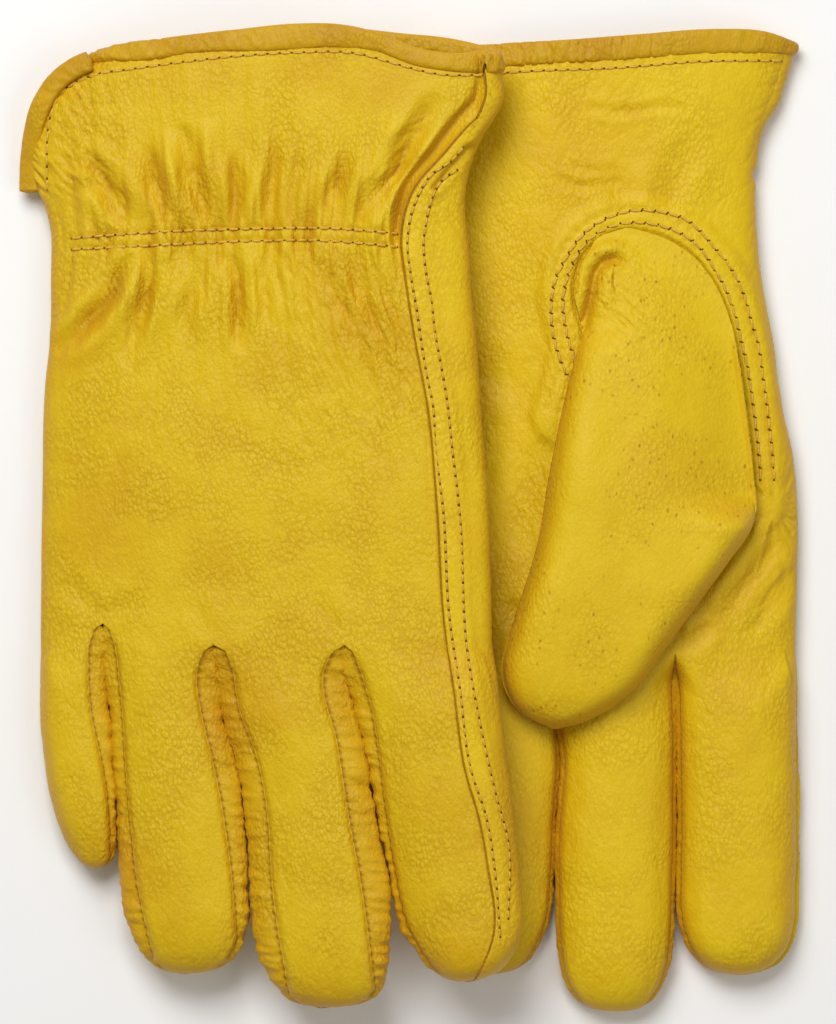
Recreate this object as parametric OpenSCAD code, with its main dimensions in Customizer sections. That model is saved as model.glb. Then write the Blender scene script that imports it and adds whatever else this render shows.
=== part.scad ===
// A pair of unlined leather work gloves. The left glove lies palm up on the floor and the
// right glove lies back up, with its radial side on the ulnar side of the left one.
// Both gloves are drawn lying flat: +X to the thumb side, +Y to the cuff, +Z up.

/* [Glove size] */
// Length from the cuff edge to the tip of the middle finger
glove_length = 245; // [236:1:254]
// Width across the palm, lying flat
palm_width = 112; // [108:1:116]
// Thickness of the leather
leather = 1.1; // [0.9:0.1:1.4]
// Height of the hand part, lying flat
hand_height = 14; // [13:0.5:15]

/* [Fingers and thumb] */
// Height of the middle finger, lying flat
finger_height = 14; // [13:0.5:15]
// Gap between neighbouring fingers
finger_gap = 0.8; // [0.7:0.1:1.2]
// Height of the left thumb, which lies on the palm
thumb_height = 12; // [10:0.5:14]
// Height of the right thumb, pressed flat under its palm
pressed_thumb_height = 6; // [5:0.25:6.5]

/* [Trim] */
// Width of the leather binding on the cuff
binding_width = 4; // [3:0.25:4.5]
// Thickness of the folded binding
binding_height = 3; // [2:0.25:3.5]
// Thickness of a row of sewing thread
thread_width = 0.6; // [0.4:0.1:0.8]
// Width of the elastic sewn inside the wrist
elastic_width = 6; // [4:0.5:8]

/* [Lay of the pair] */
// Distance between the centre lines of the two gloves
pair_spacing = 77; // [74:1:80]
// Tilt of the right glove, whose thumb side rests on the left glove
tilt = 10; // [9.5:0.25:12]

/* [Hidden] */

leather_yellow = [0.85, 0.71, 0.18];
leather_shade = [0.78, 0.62, 0.15];
thread_gold = [0.72, 0.55, 0.2];
elastic_white = [0.9, 0.88, 0.8];

LEFT = 0;
RIGHT = 1;
sx = palm_width / 112;
sy = glove_length / 245;

edge_mid = 3.2;         // height of the edge line of a flat glove
clearance = 0.4;        // gap between neighbouring pieces
thumb_gap = 2;          // gap between the palm and the thumb folded over it
keystone_leather = 1.1; // thickness of the flat root of the thumb piece
surface_gap = 0.45;     // gap between a surface and the thread over it
cuff_end = 118.5 * sy;  // where the panels stop and the cuff binding begins
slit_low = 80 * sy;     // bottom of the slit in the ulnar side of the cuff
knuckle = -33 * sy;     // where the fingers begin
mid_joint = -66 * sy;   // where the left middle finger bends, past the thumb's tip
wrist = 68.5 * sy;      // the gathered line over the wrist elastic
corner = 0.5;           // exponent that rounds a section's corners

// Sides of the hand part, as [y, x] pairs from the knuckles to the cuff
ulnar_side = [[-33, -55.5], [0, -55], [40, -53], [74, -53], [82, -55], [100, -54.5],
              [110, -51.5], [118.5, -46]];
radial_side = [[-33, 57.5], [0, 55.5], [30, 54], [60, 51.5], [84, 50], [100, 53.5],
               [118.5, 56]];

// A finger is [x at its root, x near its tip, width at its root, width near its tip,
// y of its tip, height]
left_fingers = [
    [38.5, 41.5, 34, 29.4, -113, finger_height],
    [5.5, 11.3, 30, 30.2, -122, finger_height],
    [-24.5, -19.7, 28, 27.5, -112, finger_height - 2.5],
    [-46.8, -44.3, 13.8, 17, -88, finger_height - 6]];
right_fingers = [
    [39.3, 47.8, 36.5, 29.6, -114, finger_height],
    [3.9, 14.6, 31.6, 34.0, -122, finger_height],
    [-26.3, -20.1, 27.6, 31.4, -113, finger_height - 0.5],
    [-48.6, -46.5, 14, 17, -87.5, finger_height - 2]];
INDEX = 0;
MIDDLE = 1;
RING = 2;
LITTLE = 3;

// Sides of the thumb folded across the palm, as [x, y] pairs from its root to its tip
thumb_ulnar = [[3.8, 48], [-0.5, 33], [-3.3, 12], [-9, -12], [-15.8, -29], [-17.3, -38.5],
               [-15.2, -44.5], [-10.5, -49]];
thumb_radial = [[44.5, 2.5], [39.3, -7.5], [29.3, -22], [23.2, -31.5], [16.8, -40.5],
                [9.3, -46.5], [3, -49.8], [-3, -51.3]];
thumb_taper = [1, 1, 1, 1, 0.96, 0.86, 0.68, 0.36];

// The keystone seam round the root of the thumb, as [x, y] points
keystone_seam = [[1.5, 33], [-4.2, 45], [-3.9, 58], [-0.5, 66], [6, 72.5], [14, 75.5],
                 [22, 75.8], [29.5, 73.5], [36, 67.5], [41, 60], [45, 49], [47.6, 36],
                 [49.6, 20], [50.6, 9]];

// --- Sections -------------------------------------------------------------------------

function sgn_pow(v, e) = sign(v) * pow(abs(v), e);

// How high the top of the hand part is at x: the ulnar side of the left glove is pressed
// down by the glove that lies on it
function press(side, x) = side == RIGHT ? 1
    : lookup(x / sx, [[-56, 0.34], [-20, 0.78], [-5, 1], [60, 1]]);

// A point on a flat tube's section: phi is 0 at the thumb side, 90 on top and 270 below
function section(cx, half, low, high, inset, phi, side, pressed) =
    let (
        half_in = half - min(inset, 0.6 * half),
        x = cx + half_in * sgn_pow(cos(phi), corner),
        mid = low + edge_mid * (high - low) / hand_height,
        full_top = (pressed ? press(side, x) : 1) * high,
        top = full_top - min(inset, 0.5 * (full_top - mid)),
        base = low + min(inset, 0.6 * (mid - low)),
        rise = min(1, 1.1 * pow(abs(sin(phi)), corner))
    )
    [x, sin(phi) >= 0 ? mid + (top - mid) * rise : mid - (mid - base) * rise];

function hand_point(side, y, inset, phi) =
    let (
        low_x = lookup(y / sy, ulnar_side) * sx,
        high_x = lookup(y / sy, radial_side) * sx,
        p = section((low_x + high_x) / 2, (high_x - low_x) / 2, 0, hand_height, inset,
                    phi, side, true)
    )
    [p[0], y, p[1]];

// Height of the upper surface of the hand part at (x, y)
function hand_top(side, x, y) =
    let (
        low_x = lookup(y / sy, ulnar_side) * sx,
        high_x = lookup(y / sy, radial_side) * sx,
        u = min(0.999, abs(x - (low_x + high_x) / 2) / ((high_x - low_x) / 2)),
        rise = min(1, 1.1 * pow(sin(acos(pow(u, 1 / corner))), corner))
    )
    edge_mid + (press(side, x) * hand_height - edge_mid) * rise;

function finger(side, f) = (side == LEFT ? left_fingers : right_fingers)[f];

// How full a finger is at t, which runs from 0 at the knuckle to 1 at the tip
function tip_shape(t) =
    let (start = 0.8)
    t < start ? 1 : pow(1.02 - pow((t - start) / (1 - start), 2.4), 1 / 2.4);

function finger_point(side, f, t, inset, phi) =
    let (
        d = finger(side, f),
        y = knuckle - clearance + t * (d[4] * sy - knuckle + clearance),
        full = tip_shape(t),
        half = ((d[2] + (d[3] - d[2]) * min(1, 1.5 * t)) * sx - finger_gap) / 2 * full,
        mid = edge_mid * d[5] / hand_height,
        p = section((d[0] + (d[1] - d[0]) * min(1, 1.3 * t)) * sx, half,
                    mid - mid * full, mid + (d[5] - mid) * full, inset, phi, side, false)
    )
    [p[0], y, p[1]];

function thumb_point(side, i, inset, phi) =
    let (
        a = [thumb_ulnar[i][0] * sx, thumb_ulnar[i][1] * sy],
        b = [thumb_radial[i][0] * sx, thumb_radial[i][1] * sy],
        c = (a + b) / 2,
        dir = (b - a) / norm(b - a),
        base = side == LEFT ? hand_height + thumb_gap : -thumb_gap - pressed_thumb_height,
        high = side == LEFT ? thumb_height : pressed_thumb_height,
        centre = base + high * 0.4,
        p = section(0, norm(b - a) / 2, centre - 0.4 * high * thumb_taper[i],
                    centre + 0.6 * high * thumb_taper[i], inset, phi, side, false)
    )
    [c[0] + dir[0] * p[0], c[1] + dir[1] * p[0], p[1]];

// --- Solids ---------------------------------------------------------------------------

// Skins a list of rings, each with the same number of points, and closes both ends. A ring
// runs out along one wall and back along the other, so its point i faces point n - 1 - i.
// Both walls are split into triangles alike, so that they never cross.
module skin(rings) {
    n = len(rings[0]);
    last = len(rings) - 1;
    function quad(a, b, c, d, i) = i < n / 2 ? [[a, b, d], [d, b, c]] : [[a, b, c], [a, c, d]];
    function end(k) = [for (i = [0:n / 2 - 2]) each [
        [k * n + i, k * n + i + 1, k * n + n - 1 - i],
        [k * n + i + 1, k * n + n - 2 - i, k * n + n - 1 - i]]];
    function turned(faces) = [for (f = faces) [f[2], f[1], f[0]]];
    polyhedron(
        points = [for (r = rings) each r],
        faces = concat(
            end(0),
            [for (k = [0:last - 1], i = [0:n - 1])
                each quad(k * n + i, (k + 1) * n + i, (k + 1) * n + (i + 1) % n,
                          k * n + (i + 1) % n, i)],
            turned(end(last))),
        convexity = 6);
}

// Angles from a to b in equal steps
function steps(a, b, n) = [for (i = [0:n]) a + (b - a) * i / n];

// A leather skin over part of the hand's section, from angle a to angle b
module hand_skin(side, a, b, n = 18) {
    ys = [cuff_end, 112 * sy, 106 * sy, 100 * sy, 90 * sy, slit_low, 74 * sy, 60 * sy,
          40 * sy, 20 * sy, 0, -16 * sy, knuckle];
    skin([for (y = ys) concat(
        [for (phi = steps(a, b, n)) hand_point(side, y, 0, phi)],
        [for (phi = steps(b, a, n)) hand_point(side, y, leather, phi)])]);
}

// A leather skin over part of a finger's section, between t = from and t = to
module finger_skin(side, f, a, b, from, to, n) {
    curve = [0, 0.12, 0.25, 0.37, 0.5, 0.65, 0.8, 0.87, 0.92, 0.96, 0.985, 1];
    ts = concat([from], [for (t = curve) if (t > from + 0.02 && t < to - 0.005) t], [to]);
    skin([for (t = ts) concat(
        [for (phi = steps(a, b, n)) finger_point(side, f, t, 0, phi)],
        [for (phi = steps(b, a, n)) finger_point(side, f, t, leather, phi)])]);
}

// A flat strip swept along points, with its width across the path and its height in Z
module strip(path, width, height) {
    last = len(path) - 1;
    skin([for (i = [0:last])
        let (
            t = path[min(i + 1, last)] - path[max(i - 1, 0)],
            n = [-t[1], t[0], 0] / norm([t[0], t[1]]) * width / 2,
            h = [0, 0, height / 2]
        )
        [path[i] + n + h, path[i] - n + h, path[i] - n - h, path[i] + n - h]]);
}

// A row of thread over the upper surface of the hand, along [x, y] points
module thread_row(side, path) {
    lift = surface_gap + thread_width / 2;
    strip([for (p = path) [p[0] * sx, p[1] * sy, hand_top(side, p[0] * sx, p[1] * sy) + lift]],
          thread_width, thread_width);
}

// The same row on the flat underside of the hand, inside the leather
module inner_row(path) {
    lift = leather + surface_gap + thread_width / 2;
    strip([for (p = path) [p[0] * sx, p[1] * sy, lift]], thread_width, thread_width);
}

// Points at equal spacing along a polyline of [x, y] points, moved sideways by off
function between(a, b, n) = [for (i = [0:n - 1]) a + (b - a) * i / n];
function finer(path, n) = concat(
    [for (i = [0:len(path) - 2]) each between(path[i], path[i + 1], n)],
    [path[len(path) - 1]]);
function beside(path, off) =
    let (last = len(path) - 1)
    [for (i = [0:last])
        let (t = path[min(i + 1, last)] - path[max(i - 1, 0)])
        path[i] + [-t[1], t[0]] / norm(t) * off];

// --- Pieces of one glove --------------------------------------------------------------

lap_angle = 38;    // where the palm leather ends on the back of the hand
seam_angle = 1.2;  // half the gap between the two panels

// The back of the hand, from the lapped seam to the ulnar edge
module back_panel(side) color(leather_yellow)
    if (side == RIGHT) hand_skin(side, lap_angle + seam_angle, 180 - seam_angle);
    else hand_skin(side, 180 + seam_angle, 360 - lap_angle - seam_angle);

// The palm, which wraps round the thumb side on to the back of the hand
module palm_panel(side) color(leather_shade)
    if (side == RIGHT) hand_skin(side, 180 + seam_angle, 360 + lap_angle - seam_angle);
    else hand_skin(side, -lap_angle + seam_angle, 180 - seam_angle);

// The leather strip folded over the edge of the cuff
module cuff_binding(side) color(leather_shade) {
    y = cuff_end + clearance + binding_width / 2;
    gap = 9;
    rim = [for (phi = steps(-180 + gap, 180 - gap, 44))
        let (p = hand_point(side, cuff_end, leather / 2, phi)) [p[0], y, p[2]]];
    h = [0, binding_width / 2, 0];
    last = len(rim) - 1;
    skin([for (i = [0:last])
        let (
            t = rim[min(i + 1, last)] - rim[max(i - 1, 0)],
            n = [t[2], 0, -t[0]] / norm(t) * min(binding_height / 2, rim[i][2] - 0.02)
        )
        [rim[i] + n - h, rim[i] + n + h, rim[i] - n + h, rim[i] - n - h]]);
}

// The short binding on the slit in the ulnar side of the cuff
module slit_binding(side) color(leather_yellow) {
    off = clearance + 0.5 + binding_width / 2;
    route = [[-54.8, 81], [-54.9, 88], [-54.6, 97], [-53.2, 104], [-51, 110], [-47, 116.6]];
    strip([for (p = beside(route, off)) [p[0] * sx, p[1] * sy, edge_mid + 0.4]],
          binding_width, binding_height);
}

// The elastic that gathers the back of the wrist, inside the glove
module wrist_elastic(side) color(elastic_white) {
    high = side == RIGHT ? hand_height - leather - 1.6 : leather + clearance;
    length = side == RIGHT ? 76 : 64;
    translate([-42 * sx, wrist - elastic_width / 2, high])
        cube([length * sx, elastic_width, 1]);
}

// The two rows that sew the elastic to the back of the wrist
module wrist_stitches(side) color(thread_gold)
    for (row = [-1.3, 1.3]) {
        y = wrist / sy + row;
        if (side == RIGHT) thread_row(side, [for (x = [-44:4:34]) [x, y]]);
        else inner_row([for (x = [-40:4:20]) [x, y + sign(row) * 3]]);
    }

// The row that sews the cuff binding on
module hem_stitches(side) color(thread_gold)
    thread_row(side, finer(
        [[-50, 90], [-49.5, 102], [-45.5, 108], [-38, 112.4], [0, 114.5], [30, 113], [47, 109.5]],
        5));

// The lapped seam along the thumb side of the back
lap_path = [[40, 100], [36.5, 84], [35.4, 70], [36.8, 56], [39, 42], [41.6, 22], [43.6, 0],
            [46, -20], [47.6, -31]];

// The twin rows on the lapped seam
module lap_stitches(side) color(thread_gold)
    for (off = [0, 4])
        if (side == RIGHT) thread_row(side, finer([for (p = lap_path) p + [off, 0]], 3));
        else inner_row([for (p = lap_path) p + [off - 10, 0]]);

// The twin rows round the root of the thumb
module thumb_seam(side) color(thread_gold)
    for (off = [0, -3.2])
        if (side == LEFT) thread_row(side, finer(beside(keystone_seam, off), 2));
        else inner_row(beside(keystone_seam, off - 2));

// The root of the thumb piece, lying flat on the palm inside its seam
module keystone(side) color(leather_shade) {
    inner = beside(keystone_seam, -6.6);
    fold = [[39.5, 8.5], [3.8, 43]];
    low = side == LEFT ? hand_height + clearance : -clearance - keystone_leather;
    translate([0, 0, low])
        linear_extrude(keystone_leather)
            polygon([for (p = concat([for (i = [2:len(inner) - 3]) inner[i]], fold))
                [p[0] * sx, p[1] * sy]]);
}

// The face of the thumb away from the palm when the thumb is folded over
module thumb_front(side) color(leather_yellow)
    thumb_skin(side, side == LEFT ? 1 : 181, side == LEFT ? 179 : 359);

// The face of the thumb that lies on the palm
module thumb_back(side) color(leather_shade)
    thumb_skin(side, side == LEFT ? 181 : 1, side == LEFT ? 359 : 179);

module thumb_skin(side, a, b) {
    n = 12;
    skin([for (i = [0:len(thumb_taper) - 1]) concat(
        [for (phi = steps(a, b, n)) thumb_point(side, i, 0, phi)],
        [for (phi = steps(b, a, n)) thumb_point(side, i, leather, phi)])]);
}

side_angle = 27;  // half the angle that a fourchette takes on a finger's side
split_angle = 1.5;  // half the gap between a fourchette and the leather beside it

// The upper or lower leather of a finger. The index has no fourchette on its thumb side
// and the little finger has none on its ulnar side.
module finger_half(side, f, upper, from = 0, to = 1) {
    thumb_end = f == INDEX ? split_angle : side_angle + split_angle;
    ulnar_end = f == LITTLE ? split_angle : side_angle + split_angle;
    a = upper ? thumb_end : 180 + ulnar_end;
    b = upper ? 180 - ulnar_end : 360 - thumb_end;
    finger_skin(side, f, a, b, from, to, 9);
}

// The narrow strips of leather between the front and back of a finger
module fourchettes(side, f, from = 0, to = 1) color(leather_shade) {
    span = side_angle - split_angle;
    if (f != INDEX) finger_skin(side, f, -span, span, from, to, 4);
    if (f != LITTLE) finger_skin(side, f, 180 - span, 180 + span, from, to, 4);
}

module finger_back(side, f, from = 0, to = 1) color(leather_yellow)
    finger_half(side, f, side == RIGHT, from, to);

module finger_front(side, f, from = 0, to = 1) color(leather_yellow)
    finger_half(side, f, side == LEFT, from, to);

// The share of the left middle finger that stays with the hand
root_share = (mid_joint - knuckle) / (left_fingers[MIDDLE][4] * sy - knuckle);
bend_gap = 0.006;

// --- Where the gloves lie -------------------------------------------------------------

pair_centre = 1.55;     // moves the pair so that its box is centred on the origin
pair_shift = -0.45;
tilt_edge = -55 * sx;   // the right glove tilts about its ulnar edge
floor_gap = 0.7;        // the edge of the tilted glove stays this far above the floor

module lay_left()
    translate([pair_centre + pair_spacing / 2, pair_shift, 0]) children();

module lay_right()
    translate([pair_centre - pair_spacing / 2 + tilt_edge, pair_shift, floor_gap])
        rotate([0, -tilt, 0])
            translate([-tilt_edge, 0, 0])
                children();

// --- Left glove -----------------------------------------------------------------------

module left_back_panel() lay_left() back_panel(LEFT);
module left_palm_panel() lay_left() palm_panel(LEFT);
module left_cuff_binding() lay_left() cuff_binding(LEFT);
module left_slit_binding() lay_left() slit_binding(LEFT);
module left_wrist_elastic() lay_left() wrist_elastic(LEFT);
module left_hem_stitches() lay_left() hem_stitches(LEFT);
module left_wrist_stitches() lay_left() wrist_stitches(LEFT);
module left_lap_stitches() lay_left() lap_stitches(LEFT);
module left_thumb_seam() lay_left() thumb_seam(LEFT);
module left_keystone() lay_left() keystone(LEFT);
module left_thumb_front() lay_left() thumb_front(LEFT);
module left_thumb_back() lay_left() thumb_back(LEFT);
module left_index_back() lay_left() finger_back(LEFT, INDEX);
module left_index_front() lay_left() finger_front(LEFT, INDEX);
module left_index_fourchette() lay_left() fourchettes(LEFT, INDEX);
module left_middle_root_back() lay_left() finger_back(LEFT, MIDDLE, 0, root_share);
module left_middle_root_front() lay_left() finger_front(LEFT, MIDDLE, 0, root_share);
module left_middle_root_fourchettes() lay_left() fourchettes(LEFT, MIDDLE, 0, root_share);
module left_middle_back() lay_left() finger_back(LEFT, MIDDLE, root_share + bend_gap);
module left_middle_front() lay_left() finger_front(LEFT, MIDDLE, root_share + bend_gap);
module left_middle_fourchettes() lay_left() fourchettes(LEFT, MIDDLE, root_share + bend_gap);
module left_ring_back() lay_left() finger_back(LEFT, RING);
module left_ring_front() lay_left() finger_front(LEFT, RING);
module left_ring_fourchettes() lay_left() fourchettes(LEFT, RING);
module left_little_back() lay_left() finger_back(LEFT, LITTLE);
module left_little_front() lay_left() finger_front(LEFT, LITTLE);
module left_little_fourchette() lay_left() fourchettes(LEFT, LITTLE);

// --- Right glove ----------------------------------------------------------------------

module right_back_panel() lay_right() back_panel(RIGHT);
module right_palm_panel() lay_right() palm_panel(RIGHT);
module right_cuff_binding() lay_right() cuff_binding(RIGHT);
module right_slit_binding() lay_right() slit_binding(RIGHT);
module right_wrist_elastic() lay_right() wrist_elastic(RIGHT);
module right_hem_stitches() lay_right() hem_stitches(RIGHT);
module right_wrist_stitches() lay_right() wrist_stitches(RIGHT);
module right_lap_stitches() lay_right() lap_stitches(RIGHT);
module right_thumb_seam() lay_right() thumb_seam(RIGHT);
module right_keystone() lay_right() keystone(RIGHT);
module right_thumb_front() lay_right() thumb_front(RIGHT);
module right_thumb_back() lay_right() thumb_back(RIGHT);
module right_index_back() lay_right() finger_back(RIGHT, INDEX);
module right_index_front() lay_right() finger_front(RIGHT, INDEX);
module right_index_fourchette() lay_right() fourchettes(RIGHT, INDEX);
module right_middle_back() lay_right() finger_back(RIGHT, MIDDLE);
module right_middle_front() lay_right() finger_front(RIGHT, MIDDLE);
module right_middle_fourchettes() lay_right() fourchettes(RIGHT, MIDDLE);
module right_ring_back() lay_right() finger_back(RIGHT, RING);
module right_ring_front() lay_right() finger_front(RIGHT, RING);
module right_ring_fourchettes() lay_right() fourchettes(RIGHT, RING);
module right_little_back() lay_right() finger_back(RIGHT, LITTLE);
module right_little_front() lay_right() finger_front(RIGHT, LITTLE);
module right_little_fourchette() lay_right() fourchettes(RIGHT, LITTLE);

left_back_panel();
left_palm_panel();
left_cuff_binding();
left_slit_binding();
left_wrist_elastic();
left_hem_stitches();
left_wrist_stitches();
left_lap_stitches();
left_thumb_seam();
left_keystone();
left_thumb_front();
left_thumb_back();
left_index_back();
left_index_front();
left_index_fourchette();
left_middle_root_back();
left_middle_root_front();
left_middle_root_fourchettes();
left_middle_back();
left_middle_front();
left_middle_fourchettes();
left_ring_back();
left_ring_front();
left_ring_fourchettes();
left_little_back();
left_little_front();
left_little_fourchette();
right_back_panel();
right_palm_panel();
right_cuff_binding();
right_slit_binding();
right_wrist_elastic();
right_hem_stitches();
right_wrist_stitches();
right_lap_stitches();
right_thumb_seam();
right_keystone();
right_thumb_front();
right_thumb_back();
right_index_back();
right_index_front();
right_index_fourchette();
right_middle_back();
right_middle_front();
right_middle_fourchettes();
right_ring_back();
right_ring_front();
right_ring_fourchettes();
right_little_back();
right_little_front();
right_little_fourchette();
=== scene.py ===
"""A pair of yellow leather work gloves: the left one palm up, the right one back up over it.

Shapes are worked out in millimetres in each glove's own flat frame (x to the thumb side, y to
the cuff, z up), and placed in the row frame, in metres, when a mesh is made.
"""
import math

import bpy
import numpy as np
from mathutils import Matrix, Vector
from mathutils.bvhtree import BVHTree


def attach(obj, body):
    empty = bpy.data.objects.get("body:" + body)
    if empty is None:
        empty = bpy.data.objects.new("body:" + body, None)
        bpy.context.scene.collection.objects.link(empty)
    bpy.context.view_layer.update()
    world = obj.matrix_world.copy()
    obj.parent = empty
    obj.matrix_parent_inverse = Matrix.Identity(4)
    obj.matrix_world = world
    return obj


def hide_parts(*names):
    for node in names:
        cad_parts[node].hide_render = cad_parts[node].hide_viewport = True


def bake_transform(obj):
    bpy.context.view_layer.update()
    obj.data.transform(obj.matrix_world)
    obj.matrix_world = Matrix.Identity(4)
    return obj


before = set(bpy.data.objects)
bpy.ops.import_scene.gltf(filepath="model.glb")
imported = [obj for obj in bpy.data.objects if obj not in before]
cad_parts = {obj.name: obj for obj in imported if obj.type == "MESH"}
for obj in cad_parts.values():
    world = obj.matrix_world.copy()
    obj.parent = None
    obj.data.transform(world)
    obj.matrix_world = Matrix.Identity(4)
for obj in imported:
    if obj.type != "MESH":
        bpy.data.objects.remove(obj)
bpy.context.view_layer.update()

MM = 0.001
LEFT, RIGHT = "left", "right"
FINGERS = ("little", "ring", "middle", "index")

# --- Numbers --------------------------------------------------------------------------------

CENTRE_X = {LEFT: 41.5, RIGHT: -35.5}      # where each glove's centre line lies
TILT = math.tan(math.radians(10))          # the right glove leans on the left one
TILT_EDGE = -56.5                          # the ulnar edge that it leans from
TILT_LIFT = 0.7
HAND_TOP, HAND_MID = 14.0, 4.2             # height of the hand and of its edge line
ROUNDING = 2.7                             # exponent of the hand's section
FINGER_ROUNDING = 2.35                     # and of a finger's section
SKIN_LOW = 0.25                            # height of the lower skin before its relief
LOWEST, FLOOR_GAP = 0.1, 0.05              # the relief and any mesh stop at these heights
EDGE = 0.955                               # share of the half width where a side arc begins
CELL = 0.62                                # spacing of the leather's mesh
LEATHER = 1.1                              # thickness of the leather
WRIST_Y = 69.5                             # the gathered line over the wrist elastic
CUFF_Y = 117.0
KNUCKLE_Y = -31.0
LAP_RAISE = 1.0                            # how far the lapped leather stands up
SEAM_LIMIT = 0.93                          # a finger's seams stay within this share of its half
FORK_OVERLAP, WALL_OVERLAP = 0.6, 0.1      # how far neighbouring fourchettes press together
THUMB_REST = 14.25                         # height of the palm under the folded thumb
HEM_PITCH, WRIST_PITCH, LAP_PITCH, THUMB_PITCH = 3, 2.8, 2.4, 3.15
THUMB_GROOVES = 3.1                        # pitch of the pulls in the groove under the thumb's rows

ARC = 13                                   # columns of half a side arc of the hand
WALL = 15                                  # columns of a fourchette
JOIN = 8                                   # columns over which the lap's relief runs out
LAP_STEP = 0.6                             # how far out the first column beyond the lap is moved
THUMB_ROWS, THUMB_TOP, THUMB_UNDER = 215, 116, 60      # rows, and columns of its two faces

# Outlines of the hand as (y, x)
ULNAR = [(-31, -56.4), (4, -56), (34, -55.2), (45, -54), (62, -53.8), (73, -54), (79, -55.5),
         (84, -57.5), (92, -58.8), (100, -58), (107, -55.4), (112, -51.6), (115, -47.6),
         (117, -43.5)]
RADIAL = {
    RIGHT: [(-31, 56.5), (1, 55.5), (30, 53.5), (48, 52), (67, 50.5), (84, 50), (91, 51.5),
            (102, 56), (110, 58.3), (117, 57.5)],
    LEFT: [(-31, 55.8), (4, 56), (15, 55.2), (30, 52), (47, 49.6), (64, 46.6), (77, 45.6),
           (90, 45.8), (97, 47.4), (106, 51), (117, 54.4)]}

# Where the leather ends under the cuff binding, as (x, y), on the back and on the palm
CUFF_END = {
    (RIGHT, "back"): [(-58, 102), (-55, 107.5), (-51, 112), (-44, 114.4), (-30, 115), (-17, 116.6),
                      (0, 116.8), (20, 117.4), (28, 116.5), (38, 112.8), (47, 111.3), (58, 111)],
    (RIGHT, "palm"): [(-58, 102), (-55, 107.5), (-51, 112), (-44, 114.4), (-20, 117), (10, 118.3),
                      (40, 116.5), (58, 113)],
    (LEFT, "palm"): [(-56, 100), (-44, 112), (-19, 113.6), (12, 115.2), (32, 116.7), (56, 117)]}
CUFF_END[LEFT, "back"] = CUFF_END[LEFT, "palm"]

# The forks between the fingers, as (x, y), from the little finger to the index
FORKS = {RIGHT: [(-40.5, -26.5), (-12.5, -31.5), (20, -31.5)],
         LEFT: [(-38.5, -27), (-10, -31), (25.5, -34)]}

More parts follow.
